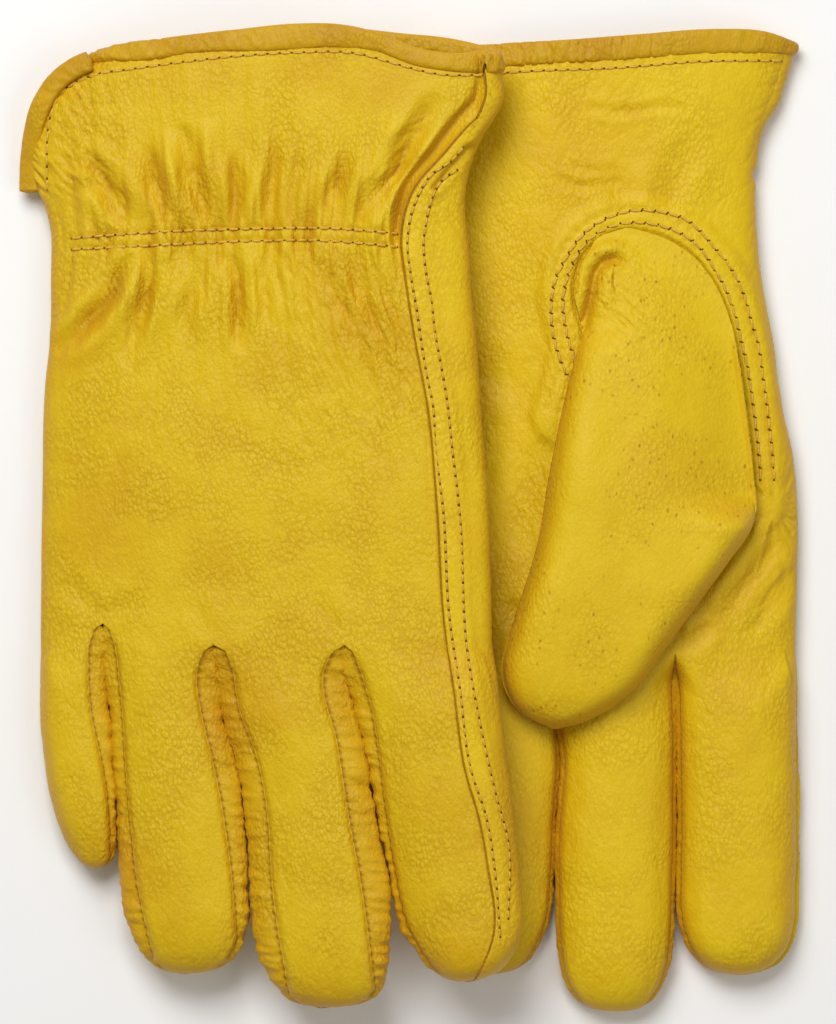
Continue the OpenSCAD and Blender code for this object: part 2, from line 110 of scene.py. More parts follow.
# Each finger: its sides and the seams of its back as (y, x), its tip (x, y), where each side
# starts to round off, the exponents of that rounding, and its height
SHAPE = {
    RIGHT: {
        "little": dict(
            left=[(-31, -56.2), (-40, -56.5), (-60, -56)],
            right=[(-26, -40.5), (-36, -40.3), (-48, -39), (-60, -38), (-83, -36.9)],
            seam_right=[(-26.5, -40.5), (-27.2, -42.2), (-29.5, -43.4), (-37, -43.7), (-48, -43),
                        (-60, -40.6), (-70, -38.9), (-88, -38)],
            tip=(-43, -87.6), start=(-52, -78), power=(2.0, 2.6), height=12.5),
        "ring": dict(
            left=[(-26, -40.5), (-36, -40.3), (-48, -39), (-60, -38), (-83, -36.7)],
            right=[(-31, -12.5), (-37, -12.3), (-48, -10.8), (-60, -7.2), (-73, -5.2),
                   (-91, -4.3)],
            seam_left=[(-26.5, -40.5), (-27.2, -38.8), (-29.5, -37.7), (-34, -37.4), (-46, -36.3),
                       (-66, -34.8), (-90, -32.3), (-111, -28)],
            seam_right=[(-31.5, -12.5), (-32.2, -14.6), (-34.5, -16.2), (-38, -16.6), (-50, -15),
                        (-60, -12.5), (-83, -8.4), (-103, -6.6)],
            tip=(-20.5, -113.8), start=(-88, -92), power=(2.3, 2.6), height=14),
        "middle": dict(
            left=[(-31, -12.5), (-37, -12.3), (-48, -10.8), (-60, -7.2), (-73, -4.9),
                  (-95, -3.6)],
            right=[(-31, 20), (-37, 19.5), (-48, 22.5), (-60, 25.5), (-75, 28), (-90, 31),
                   (-97, 31.4), (-112, 31)],
            seam_left=[(-31.5, -12.5), (-32.2, -10), (-34.5, -8.3), (-37, -8), (-48, -6.4),
                       (-58, -2.6), (-73, 0.4), (-90, 1.5), (-113, 5)],
            seam_right=[(-31.5, 20), (-32.3, 17.6), (-35.5, 15.5), (-40, 15), (-55, 18.4),
                        (-75, 21.6), (-90, 24.4), (-118, 28)],
            tip=(14, -121.8), start=(-97, -105), power=(2.3, 3.2), height=14.5),
        "index": dict(
            left=[(-31, 20), (-37, 19.5), (-48, 22.5), (-60, 25.5), (-75, 28.2), (-90, 31.4)],
            right=[(-31, 56.5), (-60, 60), (-83, 62.5), (-96, 63.5)],
            seam_left=[(-31.5, 20), (-32.2, 22), (-34.5, 23.4), (-37, 23.7), (-48, 26.4),
                       (-63, 28.8), (-83, 31.2), (-98, 33.5)],
            tip=(48.5, -115), start=(-96, -97), power=(2.0, 2.0), height=14.5)},
    LEFT: {
        "little": dict(
            left=[(-31, -56.2), (-60, -55)],
            right=[(-27, -38.5), (-48, -37), (-83, -35.5)],
            seam_right=[(-27, -38.5), (-33, -41), (-48, -40), (-88, -38)],
            tip=(-44, -88), start=(-58, -74), power=(2.0, 2.4), height=7.5),
        "ring": dict(
            left=[(-27, -38.5), (-48, -37), (-83, -35)],
            right=[(-31, -10), (-45, -6.3), (-56, -3.4), (-78, -4.3), (-96, -5)],
            seam_left=[(-27, -38.5), (-33, -36), (-48, -34.5), (-110, -31)],
            seam_right=[(-31, -10), (-36, -12.4), (-56, -8.5), (-78, -8.4), (-110, -10)],
            tip=(-20, -114.3), start=(-92, -92), power=(2.3, 2.3), height=11.5),
        "middle": dict(
            left=[(-31, -10), (-45, -6.5), (-56, -3.2), (-78, -4), (-96, -4)],
            right=[(-34, 25.5), (-60, 26), (-83, 26), (-100, 25.3)],
            seam_left=[(-31, -10), (-36, -7), (-56, -0.5), (-78, -0.8), (-115, 1)],
            seam_right=[(-34, 25.5), (-39, 22.6), (-60, 23), (-100, 22.6)],
            tip=(11.5, -123.7), start=(-98, -102), power=(2.8, 2.6), height=14),
        "index": dict(
            left=[(-34, 25.5), (-60, 26.3), (-83, 26.3), (-93, 26.2)],
            right=[(-31, 56), (-60, 56.2), (-96, 56)],
            seam_left=[(-34, 25.5), (-39, 28.6), (-60, 29.4), (-93, 29.4)],
            tip=(41, -114.4), start=(-95, -96), power=(2.2, 2.4), height=14.5)}}

# Edge of the palm leather where it laps over the back, as (y, x)
LAP = [(117, 55.5), (108, 55.3), (104, 53.8), (100, 50.2), (92, 44), (84, 37.6), (75, 34.4),
       (69, 33.8), (60, 34.8), (44, 37.3), (28, 40.3), (1, 42.8), (-24, 44.3), (-42, 46.8),
       (-63, 49.8), (-74, 53), (-86, 55.2), (-103, 56.6), (-115, 52)]

# Edge of the opening in the palm that the keystone thumb is sewn into
KEYSTONE = [(-1.5, 26), (2, 38), (2.5, 46), (0.6, 53), (0.4, 58.5), (1.8, 64), (6.5, 69.3),
            (13.5, 71.8), (20.5, 70.7), (27.5, 67.2), (33, 61.5), (37, 54.5), (39.7, 46),
            (41.8, 35), (43.3, 24), (44.6, 12), (44.5, 5)]

# --- Small tools ----------------------------------------------------------------------------

def smooth(points):
    """A smooth function through [(t, value), ...] that runs straight on past its ends."""
    t, v = np.array(sorted(points), float).T
    width = np.diff(t)
    slope = np.diff(v) / width
    m = np.concatenate([slope[:1], slope[-1:]]) if len(t) == 2 else np.concatenate([
        slope[:1],
        (slope[:-1] * width[1:] + slope[1:] * width[:-1]) / (width[1:] + width[:-1]),
        slope[-1:]])

    def at(x):
        x = np.asarray(x, float)
        k = np.clip(np.searchsorted(t, x) - 1, 0, len(t) - 2)
        h = t[k + 1] - t[k]
        s = np.clip((x - t[k]) / h, 0, 1)
        inside = (v[k] * (1 + 2 * s) * (1 - s) ** 2 + v[k + 1] * s * s * (3 - 2 * s)
                  + h * m[k] * s * (1 - s) ** 2 - h * m[k + 1] * s * s * (1 - s))
        return inside + m[0] * np.minimum(x - t[0], 0) + m[-1] * np.maximum(x - t[-1], 0)

    return at


def ease(a, b, x):
    """0 before a, 1 after b and a smooth step between."""
    s = np.clip((np.asarray(x, float) - a) / (b - a), 0, 1)
    return s * s * (3 - 2 * s)


def mix(a, b, w):
    """a where w is 0, b where it is 1."""
    return a + (b - a) * w


def trail(points, pitch):
    """Evenly spaced points on a smooth curve through [(x, y), ...]."""
    p = np.array(points, float)
    along = np.concatenate([[0], np.cumsum(np.linalg.norm(np.diff(p, axis=0), axis=1))])
    curve = [smooth(list(zip(along, p[:, k]))) for k in range(p.shape[1])]
    fine = np.linspace(0, along[-1], max(8, int(along[-1] * 4)))
    q = np.stack([c(fine) for c in curve], 1)
    length = np.concatenate([[0], np.cumsum(np.linalg.norm(np.diff(q, axis=0), axis=1))])
    even = np.linspace(0, length[-1], max(2, int(round(length[-1] / pitch)) + 1))
    return np.stack([np.interp(even, length, q[:, k]) for k in range(p.shape[1])], 1)


def path_length(path):
    """The length of a line of points."""
    return np.linalg.norm(np.diff(path, axis=0), axis=1).sum()


def sideways(path, offset):
    """The path moved to its left by offset."""
    t = np.gradient(path, axis=0)
    t /= np.linalg.norm(t, axis=1)[:, None]
    return path + np.stack([-t[:, 1], t[:, 0]], 1) * offset


def near(path, x, y, reach=1e9):
    """Distance from each point to the path, how far along it that is, and which side it is on."""
    shape = np.shape(x)
    px, py = np.ravel(x), np.ravel(y)
    box = ((px > path[:, 0].min() - reach) & (px < path[:, 0].max() + reach)
           & (py > path[:, 1].min() - reach) & (py < path[:, 1].max() + reach))
    best = np.full(px.shape, 1e9)
    along = np.zeros(px.shape)
    side = np.ones(px.shape)
    qx, qy = px[box], py[box]
    d, s, w = best[box], along[box], side[box]
    run = 0.0
    for a, b in zip(path[:-1], path[1:]):
        e = b - a
        size = math.hypot(*e)
        t = np.clip(((qx - a[0]) * e[0] + (qy - a[1]) * e[1]) / size ** 2, 0, 1)
        dx, dy = qx - a[0] - t * e[0], qy - a[1] - t * e[1]
        dist = np.hypot(dx, dy)
        closer = dist < d
        d = np.where(closer, dist, d)
        s = np.where(closer, run + t * size, s)
        w = np.where(closer, np.sign(e[0] * dy - e[1] * dx + 1e-12), w)
        run += size
    best[box], along[box], side[box] = d, s, w
    return best.reshape(shape), along.reshape(shape), side.reshape(shape)


def noise(x, y, seed=0):
    """Smooth noise between about -1 and 1, with features one unit wide."""
    xi, yi = np.floor(x).astype(np.int64), np.floor(y).astype(np.int64)
    fx, fy = x - xi, y - yi

    def corner(i, j):
        h = (xi + i) * 374761393 + (yi + j) * 668265263 + seed * 1442695041
        h = (h ^ (h >> 13)) * 1274126177
        angle = ((h ^ (h >> 16)) & 65535) / 65536 * 2 * math.pi
        return np.cos(angle) * (fx - i) + np.sin(angle) * (fy - j)

    u = fx * fx * fx * (fx * (fx * 6 - 15) + 10)
    v = fy * fy * fy * (fy * (fy * 6 - 15) + 10)
    return 1.5 * mix(mix(corner(0, 0), corner(1, 0), u), mix(corner(0, 1), corner(1, 1), u), v)


def creased(x, y, seed):
    """Noise made of narrow valleys, 0 or below."""
    return -np.maximum(0, 1 - np.abs(noise(x, y, seed)) * 3.5) ** 2


def place(side, p):
    """Points of a glove's own frame, in the row frame and in metres."""
    q = np.array(p, float)
    if side == RIGHT:
        q[..., 2] += TILT_LIFT + np.maximum(q[..., 0] - TILT_EDGE, 0) * TILT
    q[..., 0] += CENTRE_X[side]
    return q * MM


# --- Relief: gathers, folds and seams pressed into the leather ------------------------------

# Twin rows of stitches over the elastic, as (x, y)
WRIST_ROWS = [
    [(-48.5, 70), (-25.5, 71.4), (-1, 72), (15.5, 72), (33.3, 70.6)],
    [(-48.5, 67.2), (-25.5, 68.1), (-1, 69), (15.5, 68.9), (33.3, 67.3)]]

# Folds of the back: points, width and depth
BACK_FOLDS = [
    ([(-46, 91), (-40, 85), (-36, 78), (-33.5, 73)], 1.3, 1.3),
    ([(-49, 84), (-42, 82), (-38, 77), (-36.5, 73)], 1.0, 0.7),
    ([(-29, 93), (-27, 85), (-25, 78), (-24, 73)], 1.2, 0.9),
    ([(-20, 98), (-18, 88), (-16.5, 80), (-15.5, 73)], 1.4, 1.4),
    ([(-7, 91), (-6.5, 82), (-6.8, 73)], 1.0, 0.8),
    ([(4, 95), (2, 84), (0.5, 73)], 1.0, 0.6),
    ([(9, 94), (7.5, 84), (5.5, 73)], 0.9, 0.6),
    ([(22, 90), (17, 82), (13.5, 73)], 1.0, 0.6),
    ([(44, 105), (38, 96), (31, 85), (25, 76), (23.5, 73)], 1.3, 1.2),
    ([(41, 97), (34, 86), (29, 77), (28, 73)], 0.8, 0.6),
    ([(-33, 66), (-36, 61), (-40, 54), (-46, 47), (-52, 41)], 1.2, 1.2),
    ([(-25, 65), (-28, 58), (-32, 48), (-36, 38)], 1.3, 0.9),
    ([(-15, 65), (-17, 56), (-21, 45)], 1.2, 0.6),
    ([(-8, 66), (-6.5, 58), (-6, 49), (-6.5, 41)], 1.1, 1.1),
    ([(-1, 65), (-0.5, 56), (0, 48)], 0.9, 0.5),
    ([(6, 66), (5.5, 60)], 0.7, 0.5),
    ([(14, 64), (20, 52), (26, 38)], 1.0, 0.45),
    ([(20, 64), (27, 50), (32, 34)], 1.0, 0.5),
    ([(26, 63), (31, 52), (34, 40)], 0.9, 0.45),
    ([(-50, -15), (-46, -20), (-42, -25)], 1.4, 0.3),
    ([(-32, -19), (-36, -22), (-39, -25)], 1.3, 0.25),
    ([(-18, -20), (-15.5, -26), (-13.5, -30)], 1.4, 0.22),
    ([(12, -19), (16, -25), (18.5, -29)], 1.5, 0.25)]

# Folds of the palm
PALM_FOLDS = [
    ([(-6, 85), (3, 83), (12, 85)], 0.7, 0.3),
    ([(-2, 88), (6, 86.5), (13, 88)], 0.7, 0.2),
    ([(2, 103), (12, 101.5), (24, 103), (31, 102)], 0.7, 0.22),
    ([(46, 3), (38, -8), (30, -19)], 1.6, 0.8),
    ([(52, -4), (45, -14), (38, -26)], 1.5, 0.7),
    ([(54, -12), (48, -22), (44, -30)], 1.4, 0.6),
    ([(-2, 24), (-8, 14), (-12, 2), (-14, -10)], 2.2, 0.5),
    ([(4, -8), (-4, -16), (-10, -26)], 1.8, 0.6),
    ([(-30, 40), (-22, 36), (-12, 34)], 2.4, 0.4),
    ([(10, 88), (12, 80), (11, 74)], 1.8, 0.4),
    ([(30, 96), (26, 86), (22, 76)], 1.8, 0.4),
    ([(24, -22), (25, -28), (25.5, -33)], 1.4, 0.7),
    ([(34, -26), (30, -30), (27, -33)], 1.2, 0.6),
    ([(-16, -20), (-13, -26), (-10.5, -30)], 1.4, 0.6),
    ([(-44, -18), (-41, -23), (-39, -27)], 1.4, 0.6)]


LAP_AT = smooth(LAP)
KEYSTONE_ROWS = (1.9, 5.3)       # how far the two rows lie from the keystone's edge


def folds(x, y, listed):
    """Soft valleys along the listed folds, each with a bundle of fine wrinkles in it."""
    h = np.zeros(np.shape(x))
    for k, (points, width, depth) in enumerate(listed):
        path = trail(points, 1.5)
        wave = noise(x / 9 + k * 7.3, y / 9, 5) * 1.1
        d, s, side = near(path, x + wave, y, 7 * width)
        share = np.clip(s / path_length(path), 0, 1)
        fade = np.sin(math.pi * share).clip(0, 1) ** 0.7 * (d < 7 * width)
        soft = 0.55 * np.exp(-((d - 3.4 * width) / (1.8 * width)) ** 2) \
            - np.exp(-(d / (1.7 * width)) ** 2)
        fine = 0.34 * noise(d * side / 0.62 + k * 9.1, s / 5.5, 6) \
            + 0.2 * noise(d * side / 0.4 + k * 5.7, s / 2.6, 7)
        h += fade * depth * (1.6 * soft + 1.3 * fine * np.exp(-(d / (2.2 * width)) ** 2))
    return h


def pressed_row(x, y, path, pitch, depth=0.32):
    """The groove that a row of stitches pulls into the leather, deeper at each stitch hole."""
    d, s, _ = near(path, x, y, 4)
    pull = 0.65 + 0.35 * np.cos(2 * math.pi * s / pitch)
    return -depth * np.exp(-(d / 0.75) ** 2) * pull * (d < 4)


def gathers(x, y):
    """Fine pleats that run up and down from the wrist rows and die away."""
    off = np.abs(y - WRIST_Y)
    fan = x - 0.004 * (x + 8) * off
    reach = 1.7 * np.exp(-off / 21) * ease(40, 31, x) * ease(-54, -47, x)
    fine = 0.34 * noise(fan / 0.95, y / 16, 10) + 0.46 * noise(fan / 1.7, y / 24, 11) \
        + 0.4 * noise(fan / 3.1, y / 34, 12)
    wide = 1.8 * noise(fan / 5, y / 44, 13) * np.exp(-off / (24 + 8 * (y > WRIST_Y)))
    return fine * reach + wide * ease(44, 34, x) * ease(-56, -46, x)


def back_relief(x, y):
    """Gathers, folds and fine wrinkles of the back, and the valley beside its lap."""
    lap_x = LAP_AT(y)
    h = gathers(x, y) + folds(x, y, BACK_FOLDS) * ease(1.5, 4, lap_x - x)
    h = h - (0.3 + 1.7 * ease(66, 78, y)) * np.exp(-((lap_x - x - 0.6) / 1.7) ** 2)
    for row in WRIST_ROWS:
        h = h + pressed_row(x, y, trail(row, 1), WRIST_PITCH, 0.55) * ease(0, 2, lap_x - x)
    rough = ease(-12, 14, x) * ease(72, 58, y) * ease(6, 34, y)
    lean = x + 0.35 * (y - 50)
    h = h + 0.22 * rough * creased(lean / 1.5, y / 7 + x / 30, 21)
    h = h + 0.24 * rough * noise(lean / 1.1, y / 5, 26)
    corner = ease(-30, -48, x) * ease(78, 84, y)
    h = h + corner * (0.55 * noise((x + y) / 1.5, (x - y) / 6, 27)
                      + 0.35 * noise((x + y * 0.6) / 0.9, (x - y) / 5, 28))
    h = h + 0.16 * creased(x / 3.4, y / 15, 22) * ease(60, 20, np.abs(y - 35))
    h = h + 0.10 * creased(x / 3.0 + y / 14, y / 4.5, 23) * ease(8, -25, y)
    return h + 0.5 * noise(x / 27, y / 34, 24) + 0.16 * noise(x / 8, y / 10, 25)


def palm_relief(x, y):
    """Folds of the palm, the raised collar round the keystone and its two grooves."""
    h = folds(x, y, PALM_FOLDS)
    edge = trail(KEYSTONE, 1)
    d, _, where = near(edge, x, y, 14)
    collar = (1 - ease(6.8, 10.5, d)) * ease(0.4, 1.2, d)
    h = h + np.where((where > 0) & (d < 14), collar, 0)
    for off in KEYSTONE_ROWS:
        h = h + pressed_row(x, y, sideways(edge, off), THUMB_GROOVES, 0.4)
    away, turn = np.hypot(x - 50, y - 3), np.arctan2(y - 3, x - 50)
    h = h + 0.6 * noise(turn * 8, away / 13, 35) * np.exp(-(away / 17) ** 2) * ease(2, 6, away)
    h = h + 0.14 * creased(x / 4 - y / 12, y / 6, 31) + 0.5 * noise(x / 30, y / 36, 32)
    h = h + 0.12 * creased(x / 2.6, y / 8, 34) * ease(40, 10, np.abs(y - 20)) * ease(20, -10, x)
    return h + 0.16 * noise(x / 8, y / 10, 33)


# --- The glove's body and fingers -----------------------------------------------------------

def press(side, x):
    """The left glove's ulnar side is pressed down by the glove that lies on it."""
    if side == RIGHT:
        return np.ones(np.shape(x))
    return np.interp(x, [-56, -20, -5, 60], [0.36, 0.78, 1, 1])


def arch(u, power=ROUNDING):
    """A rounded section: 1 at u = 0, falling steeply to 0 at u = 1 or -1."""
    return np.clip(1 - np.abs(u) ** power, 0, 1) ** (1 / power)


def hand_span(side, y):
    """The middle and the half width of the hand at y."""
    a, b = smooth(ULNAR)(y), smooth(RADIAL[side])(y)
    return (a + b) / 2, (b - a) / 2


def hand_z(side, x, y, upper):
    """Height of the hand's upper or lower skin at (x, y), before its relief."""
    mid, half = hand_span(side, y)
    rise = arch((x - mid) / half)
    if upper:
        return HAND_MID + (HAND_TOP * press(side, x) - HAND_MID) * rise
    return HAND_MID - (HAND_MID - SKIN_LOW) * rise


def tip_round(y, start, tip, power):
    """1 up to start, then rounding off to 0 at the tip."""
    return arch(np.clip((start - y) / (start - tip), 0, 1), power)


def finger_span(side, name, y):
    """Left and right sides of a finger at y, and how full it still is near its tip."""
    s = SHAPE[side][name]
    tip_x, tip_y = s["tip"]
    sides = []
    for k, key in enumerate(("left", "right")):
        straight = smooth(s[key])(y)
        full = tip_round(y, s["start"][k], tip_y, s["power"][k])
        sides.append(tip_x + (straight - tip_x) * full)
    start = max(s["start"]) - 6
    return sides[0], sides[1], tip_round(y, start, tip_y, 2.6)


def finger_z(side, name, x, y, upper):
    """Height of a finger's upper or lower skin at (x, y), before its relief."""
    s = SHAPE[side][name]
    left, right, full = finger_span(side, name, y)
    half = np.maximum((right - left) / 2, 0.02)
    mid_z = HAND_MID * s["height"] / HAND_TOP
    rise = arch((x - (left + right) / 2) / half, FINGER_ROUNDING) * full
    return mid_z + ((s["height"] - mid_z) if upper else -(mid_z - SKIN_LOW)) * rise


def columns(side):
    """How many mesh columns each part of the ring round the hand has."""
    f = FORKS[side]
    spans = [f[0][0] + 56, f[1][0] - f[0][0], f[2][0] - f[1][0], 44.5 - f[2][0], 11.5]
    return [max(6, int(s / CELL)) for s in spans]


def hand_grid(side):
    """The closed ring of columns round the hand, from the knuckles to the cuff.
    The ring starts on the ulnar edge and goes over the top."""
    counts = columns(side)
    upper_face, lower_face = ("palm", "back") if side == LEFT else ("back", "palm")
    rows = int((CUFF_Y - KNUCKLE_Y) / CELL)
    v = np.linspace(0, 1, rows)[:, None]
    nominal = KNUCKLE_Y + (CUFF_Y - KNUCKLE_Y) * v
    mid, half = hand_span(side, nominal)
    low, high = mid - EDGE * half, mid + EDGE * half
    share = (nominal - KNUCKLE_Y) / (CUFF_Y - KNUCKLE_Y)
    even = [low + (high - low) * k for k in (0.18, 0.42, 0.69)]
    forks = [mix(f[0], e, ease(0, 1, share * 1.3)) for f, e in zip(FORKS[side], even)]
    lap = np.minimum(LAP_AT(nominal), high - 1)
    lines = [low, *forks, lap, high]

    angle = math.acos(EDGE ** (ROUNDING / 2))

    def arc(x_sign, a, b, n):
        al = np.linspace(a, b, n + 1)[None, :]
        x = mid + half * x_sign * np.abs(np.cos(al)) ** (2 / ROUNDING)
        top = HAND_TOP * press(side, x)
        lift = np.where(al > 0, top - HAND_MID, HAND_MID - SKIN_LOW)
        z = HAND_MID + lift * np.sign(al) * np.abs(np.sin(al)) ** (2 / ROUNDING)
        return x, z

    x, z = arc(-1, 0, angle, ARC)
    xs, zs, upper = [x[:, :-1]], [z[:, :-1]], [np.ones(ARC)]
    for a, b, n in zip(lines[:-1], lines[1:], counts):
        x = a + (b - a) * np.arange(n) / n
        xs.append(x)
        zs.append(hand_z(side, x, nominal, True))
        upper.append(np.ones(n))
    x, z = arc(1, angle, -angle, 2 * ARC)
    xs.append(x[:, :-1])
    zs.append(z[:, :-1])
    upper.append(np.r_[np.ones(ARC), np.zeros(ARC)])
    for a, b, n in zip(lines[::-1][:-1], lines[::-1][1:], counts[::-1]):
        x = a + (b - a) * np.arange(n) / n
        xs.append(x)
        zs.append(hand_z(side, x, nominal, False))
        upper.append(np.zeros(n))
    x, z = arc(-1, -angle, 0, ARC)
    x, z = np.hstack([*xs, x]), np.hstack([*zs, z])
    upper = np.hstack([*upper, np.zeros(ARC + 1)])

    root = smooth([(-57, -29), *FORKS[side], (57, KNUCKLE_Y)])(x[:1])
    ends = [smooth(CUFF_END[side, face])(x[-1:]) for face in (upper_face, lower_face)]
    end = np.where(upper > 0.5, ends[0], ends[1])
    y = nominal + (root - KNUCKLE_Y) * (1 - v) ** 3 + (end - CUFF_Y) * v ** 6
    cuts = np.cumsum([0, ARC, *counts, 2 * ARC, *counts[::-1], ARC])
    return np.stack([x, y, z], 2), cuts


# Which parts of the hand's ring each finger takes over, by their place in cuts
RING_PARTS = {"little": [(0, 2), (11, 13)], "ring": [(2, 3), (10, 11)],
              "middle": [(3, 4), (9, 10)], "index": [(4, 9)]}
# The parts that are rounded sides, and the shares of the arc's angle that they run between
SIDE_ARCS = {0: (0, 1), 6: (1, -1), 12: (-1, 0)}


def finger_grid(side, name, hand, cuts):
    """The closed ring of one finger, from the hand's last row to its tip, and where its
    seams are: it starts with the columns shared with the hand."""
    s = SHAPE[side][name]
    rows = int((KNUCKLE_Y - s["tip"][1]) / CELL * 1.12)
    v = np.linspace(0, 1, rows)[:, None]
    down = 1.25 * v - 0.25 * v ** 4.2
    mid_z = HAND_MID * s["height"] / HAND_TOP
    angle = math.acos(EDGE ** (FINGER_ROUNDING / 2))

    def line(key, y, mid_x, half, sign, upper):
        """Where a seam lies; the left glove's palm has its seams at the finger's edges."""
        if key in s and not (side == LEFT and upper):
            reach = SEAM_LIMIT * half
            return np.clip(smooth(s[key])(y), mid_x - reach, mid_x + reach)
        return mid_x + sign * EDGE * half

    parts = {}
    for k in (k for a, b in RING_PARTS[name] for k in range(a, b)):
        start = hand[0, cuts[k]:cuts[k + 1] + 1]
        y = start[:, 1] + (s["tip"][1] - start[:, 1]) * down
        drop = start[:, 1] - y
        left, right, full = finger_span(side, name, y)
        half = np.maximum((right - left) / 2, 0.02)
        mid_x = (left + right) / 2
        t = np.linspace(0, 1, len(start))[None, :]
        if k in SIDE_ARCS:
            al = angle * mix(*SIDE_ARCS[k], t)
            out = half * np.abs(np.cos(al)) ** (2 / FINGER_ROUNDING)
            lift = np.where(al > 0, s["height"] - mid_z, mid_z - SKIN_LOW) * full
            x = mid_x + (out if k == 6 else -out)
            z = mid_z + lift * np.sign(al) * np.abs(np.sin(al)) ** (2 / FINGER_ROUNDING)
            keep = 1 - ease(0, 14, drop)
        else:
            upper = k < 6
            lap = np.clip(LAP_AT(y), mid_x, mid_x + 0.9 * half)
            x0 = lap if k in (5, 7) else line("seam_left", y, mid_x, half, -1, upper)
            x1 = lap if k in (4, 8) else line("seam_right", y, mid_x, half, 1, upper)
            x = x0 + (x1 - x0) * (t if upper else 1 - t)
            across = (x - left) / np.maximum(right - left, 0.05)
            reach = 5 + 13 * np.clip(1 - (2 * across - 1) ** 2, 0, 1)
            own = finger_z(side, name, x, y, upper)
            z = mix(hand_z(side, x, y, upper), own, ease(0, reach, drop))
            keep = 1 - ease(0, 9, drop)
        p = np.stack([x, y, z], 2)
        parts[k] = p + (start - p[0]) * keep[..., None]
    return assemble_finger(side, name, parts)


def wall_columns(top, bottom, contact, drop):
    """A fourchette: it leaves the upper seam, bulges out to the next finger and comes back
    to the lower seam. Close to the fork it bulges at once, so the fork's floor is shallow."""
    w = np.linspace(0, 1, WALL + 1)[None, :]
    early = np.clip(0.06 + 0.26 * drop / 14, 0.06, 0.32)[:, None]
    near_end = np.minimum(w, 1 - w)
    bulge = np.sin(math.pi / 2 * np.clip(near_end / early, 0, 1))
    p = top[:, None, :] + (bottom - top)[:, None, :] * w[..., None]
    straight_x = p[..., 0]
    p[..., 0] = straight_x + (contact[:, None] - straight_x) * bulge
    return p


def close(*pieces):
    """One ring from these grids, and the first and last column of each."""
    ring = np.concatenate([p[:, :-1] for p in pieces[:-1]] + [pieces[-1]], axis=1)
    ends = np.cumsum([0] + [p.shape[1] - 1 for p in pieces])
    return ring, list(zip(ends[:-1], ends[1:]))


def assemble_finger(side, name, parts):
    """Joins a finger's columns into one closed ring and says where each leather begins."""
    def wall(a, b, which):
        """The fourchette between two seams, from the points a to the points b."""
        y = a[:, 1]
        left, right, _ = finger_span(side, name, y)
        drop = a[0, 1] - y
        inset = -mix(FORK_OVERLAP, WALL_OVERLAP, ease(6, 20, drop)) * ease(0, 2, drop)
        return wall_columns(a, b, right - inset if which == "right" else left + inset, drop)

    if name == "index":
        skin, ends = close(*(parts[k] for k in range(4, 9)))
        ring, (_, wall_ends) = close(skin, wall(skin[:, -1], skin[:, 0], "left"))
        lap = ends[0][1] if side == RIGHT else ends[3][1]
        return ring, dict(lap=(lap, ends[2][0] + ARC), wall_left=wall_ends)
    keys = list(parts)
    top, _ = close(*(parts[k] for k in keys[:len(keys) // 2]))
    low, _ = close(*(parts[k] for k in keys[len(keys) // 2:]))
    pieces = dict(upper=top, wall_right=wall(top[:, -1], low[:, 0], "right"), lower=low)
    if name != "little":
        pieces["wall_left"] = wall(low[:, -1], top[:, 0], "left")
    ring, ends = close(*pieces.values())
    return ring, dict(zip(pieces, ends))


def unit(v):
    """The vectors at length 1."""
    return v / np.maximum(np.linalg.norm(v, axis=-1), 1e-9)[..., None]


def normals(p, closed, way):
    """Outward unit normals of a grid; way is 1 where its rows run to the fingertips."""
    du = np.gradient(p, axis=1)
    if closed:
        du[:, 0] = du[:, -1] = (p[:, 1] - p[:, -2]) / 2
    n = way * np.cross(np.gradient(p, axis=0), du)
    for k in range(1, n.shape[0]):
        flat = np.linalg.norm(n[k], axis=1) < 1e-5
        n[k][flat] = n[k - 1][flat]
    return unit(n)


def run_across(p):
    """How far along its row each point lies."""
    step = np.linalg.norm(np.diff(p, axis=1), axis=2)
    return np.concatenate([np.zeros((p.shape[0], 1)), np.cumsum(step, axis=1)], axis=1)


# --- Meshes ---------------------------------------------------------------------------------

def cavity(p, n):
    """How hollow the surface is at each point of a grid, at a small and a larger scale; the leather
    paints shade into the hollows and a highlight onto the ridges from it.
    """
    out = []
    for k in (2, 6):
        pad = np.pad(p, ((k, k), (k, k), (0, 0)), mode="edge")
        around = (pad[2 * k:, k:-k] + pad[:-2 * k, k:-k] + pad[k:-k, 2 * k:] + pad[k:-k, :-2 * k]) / 4
        inner = np.zeros(p.shape[:2], bool)
        inner[k:-k, k:-k] = True
        out.append(np.where(inner, ((around - p) * n).sum(2), 0) / k)
    return out[0], out[1]


def quads(rows, cols):
    """The faces of a grid of points."""
    i = np.arange(rows * cols).reshape(rows, cols)
    return np.stack([i[:-1, :-1], i[1:, :-1], i[1:, 1:], i[:-1, 1:]], 2).reshape(-1, 4)


def ring_quads(rows, cols):
    """The faces of a grid whose last column joins its first."""
    i = np.arange(rows * cols).reshape(rows, cols)
    j = np.roll(i, -1, axis=1)
    return np.stack([i[:-1], j[:-1], j[1:], i[1:]], 2).reshape(-1, 4)


def sheet(name, side, p, material, n, way=1, seam=None):
    """A mesh from a grid of points, with its normals, how hollow and how steep it is (for painted
    shade and highlight), and where its seams are.
    """
    small, large = cavity(p, n)
    faces = quads(*p.shape[:2])
    if way < 0:
        faces = faces[:, ::-1]
    ob = solid(name, place(side, p).reshape(-1, 3), faces, material)
    seam = np.zeros(p.shape[:2]) if seam is None else seam
    # How steep the surface is: the leather lays painted shade on steep sides from it.
    side_shade = 1 - np.abs(n[..., 2])
    for key, value in (("hollow", small), ("broad", large), ("seam", seam), ("side_shade", side_shade)):
        ob.data.attributes.new(key, "FLOAT", "POINT").data.foreach_set(
            "value", value.ravel().astype(np.float32))
    m = n.reshape(-1, 3)
    if side == RIGHT:
        m = unit(m - np.array([TILT, 0, 0]) * m[:, 2:3])
    ob.data.normals_split_custom_set_from_vertices([tuple(a) for a in m])
    return ob


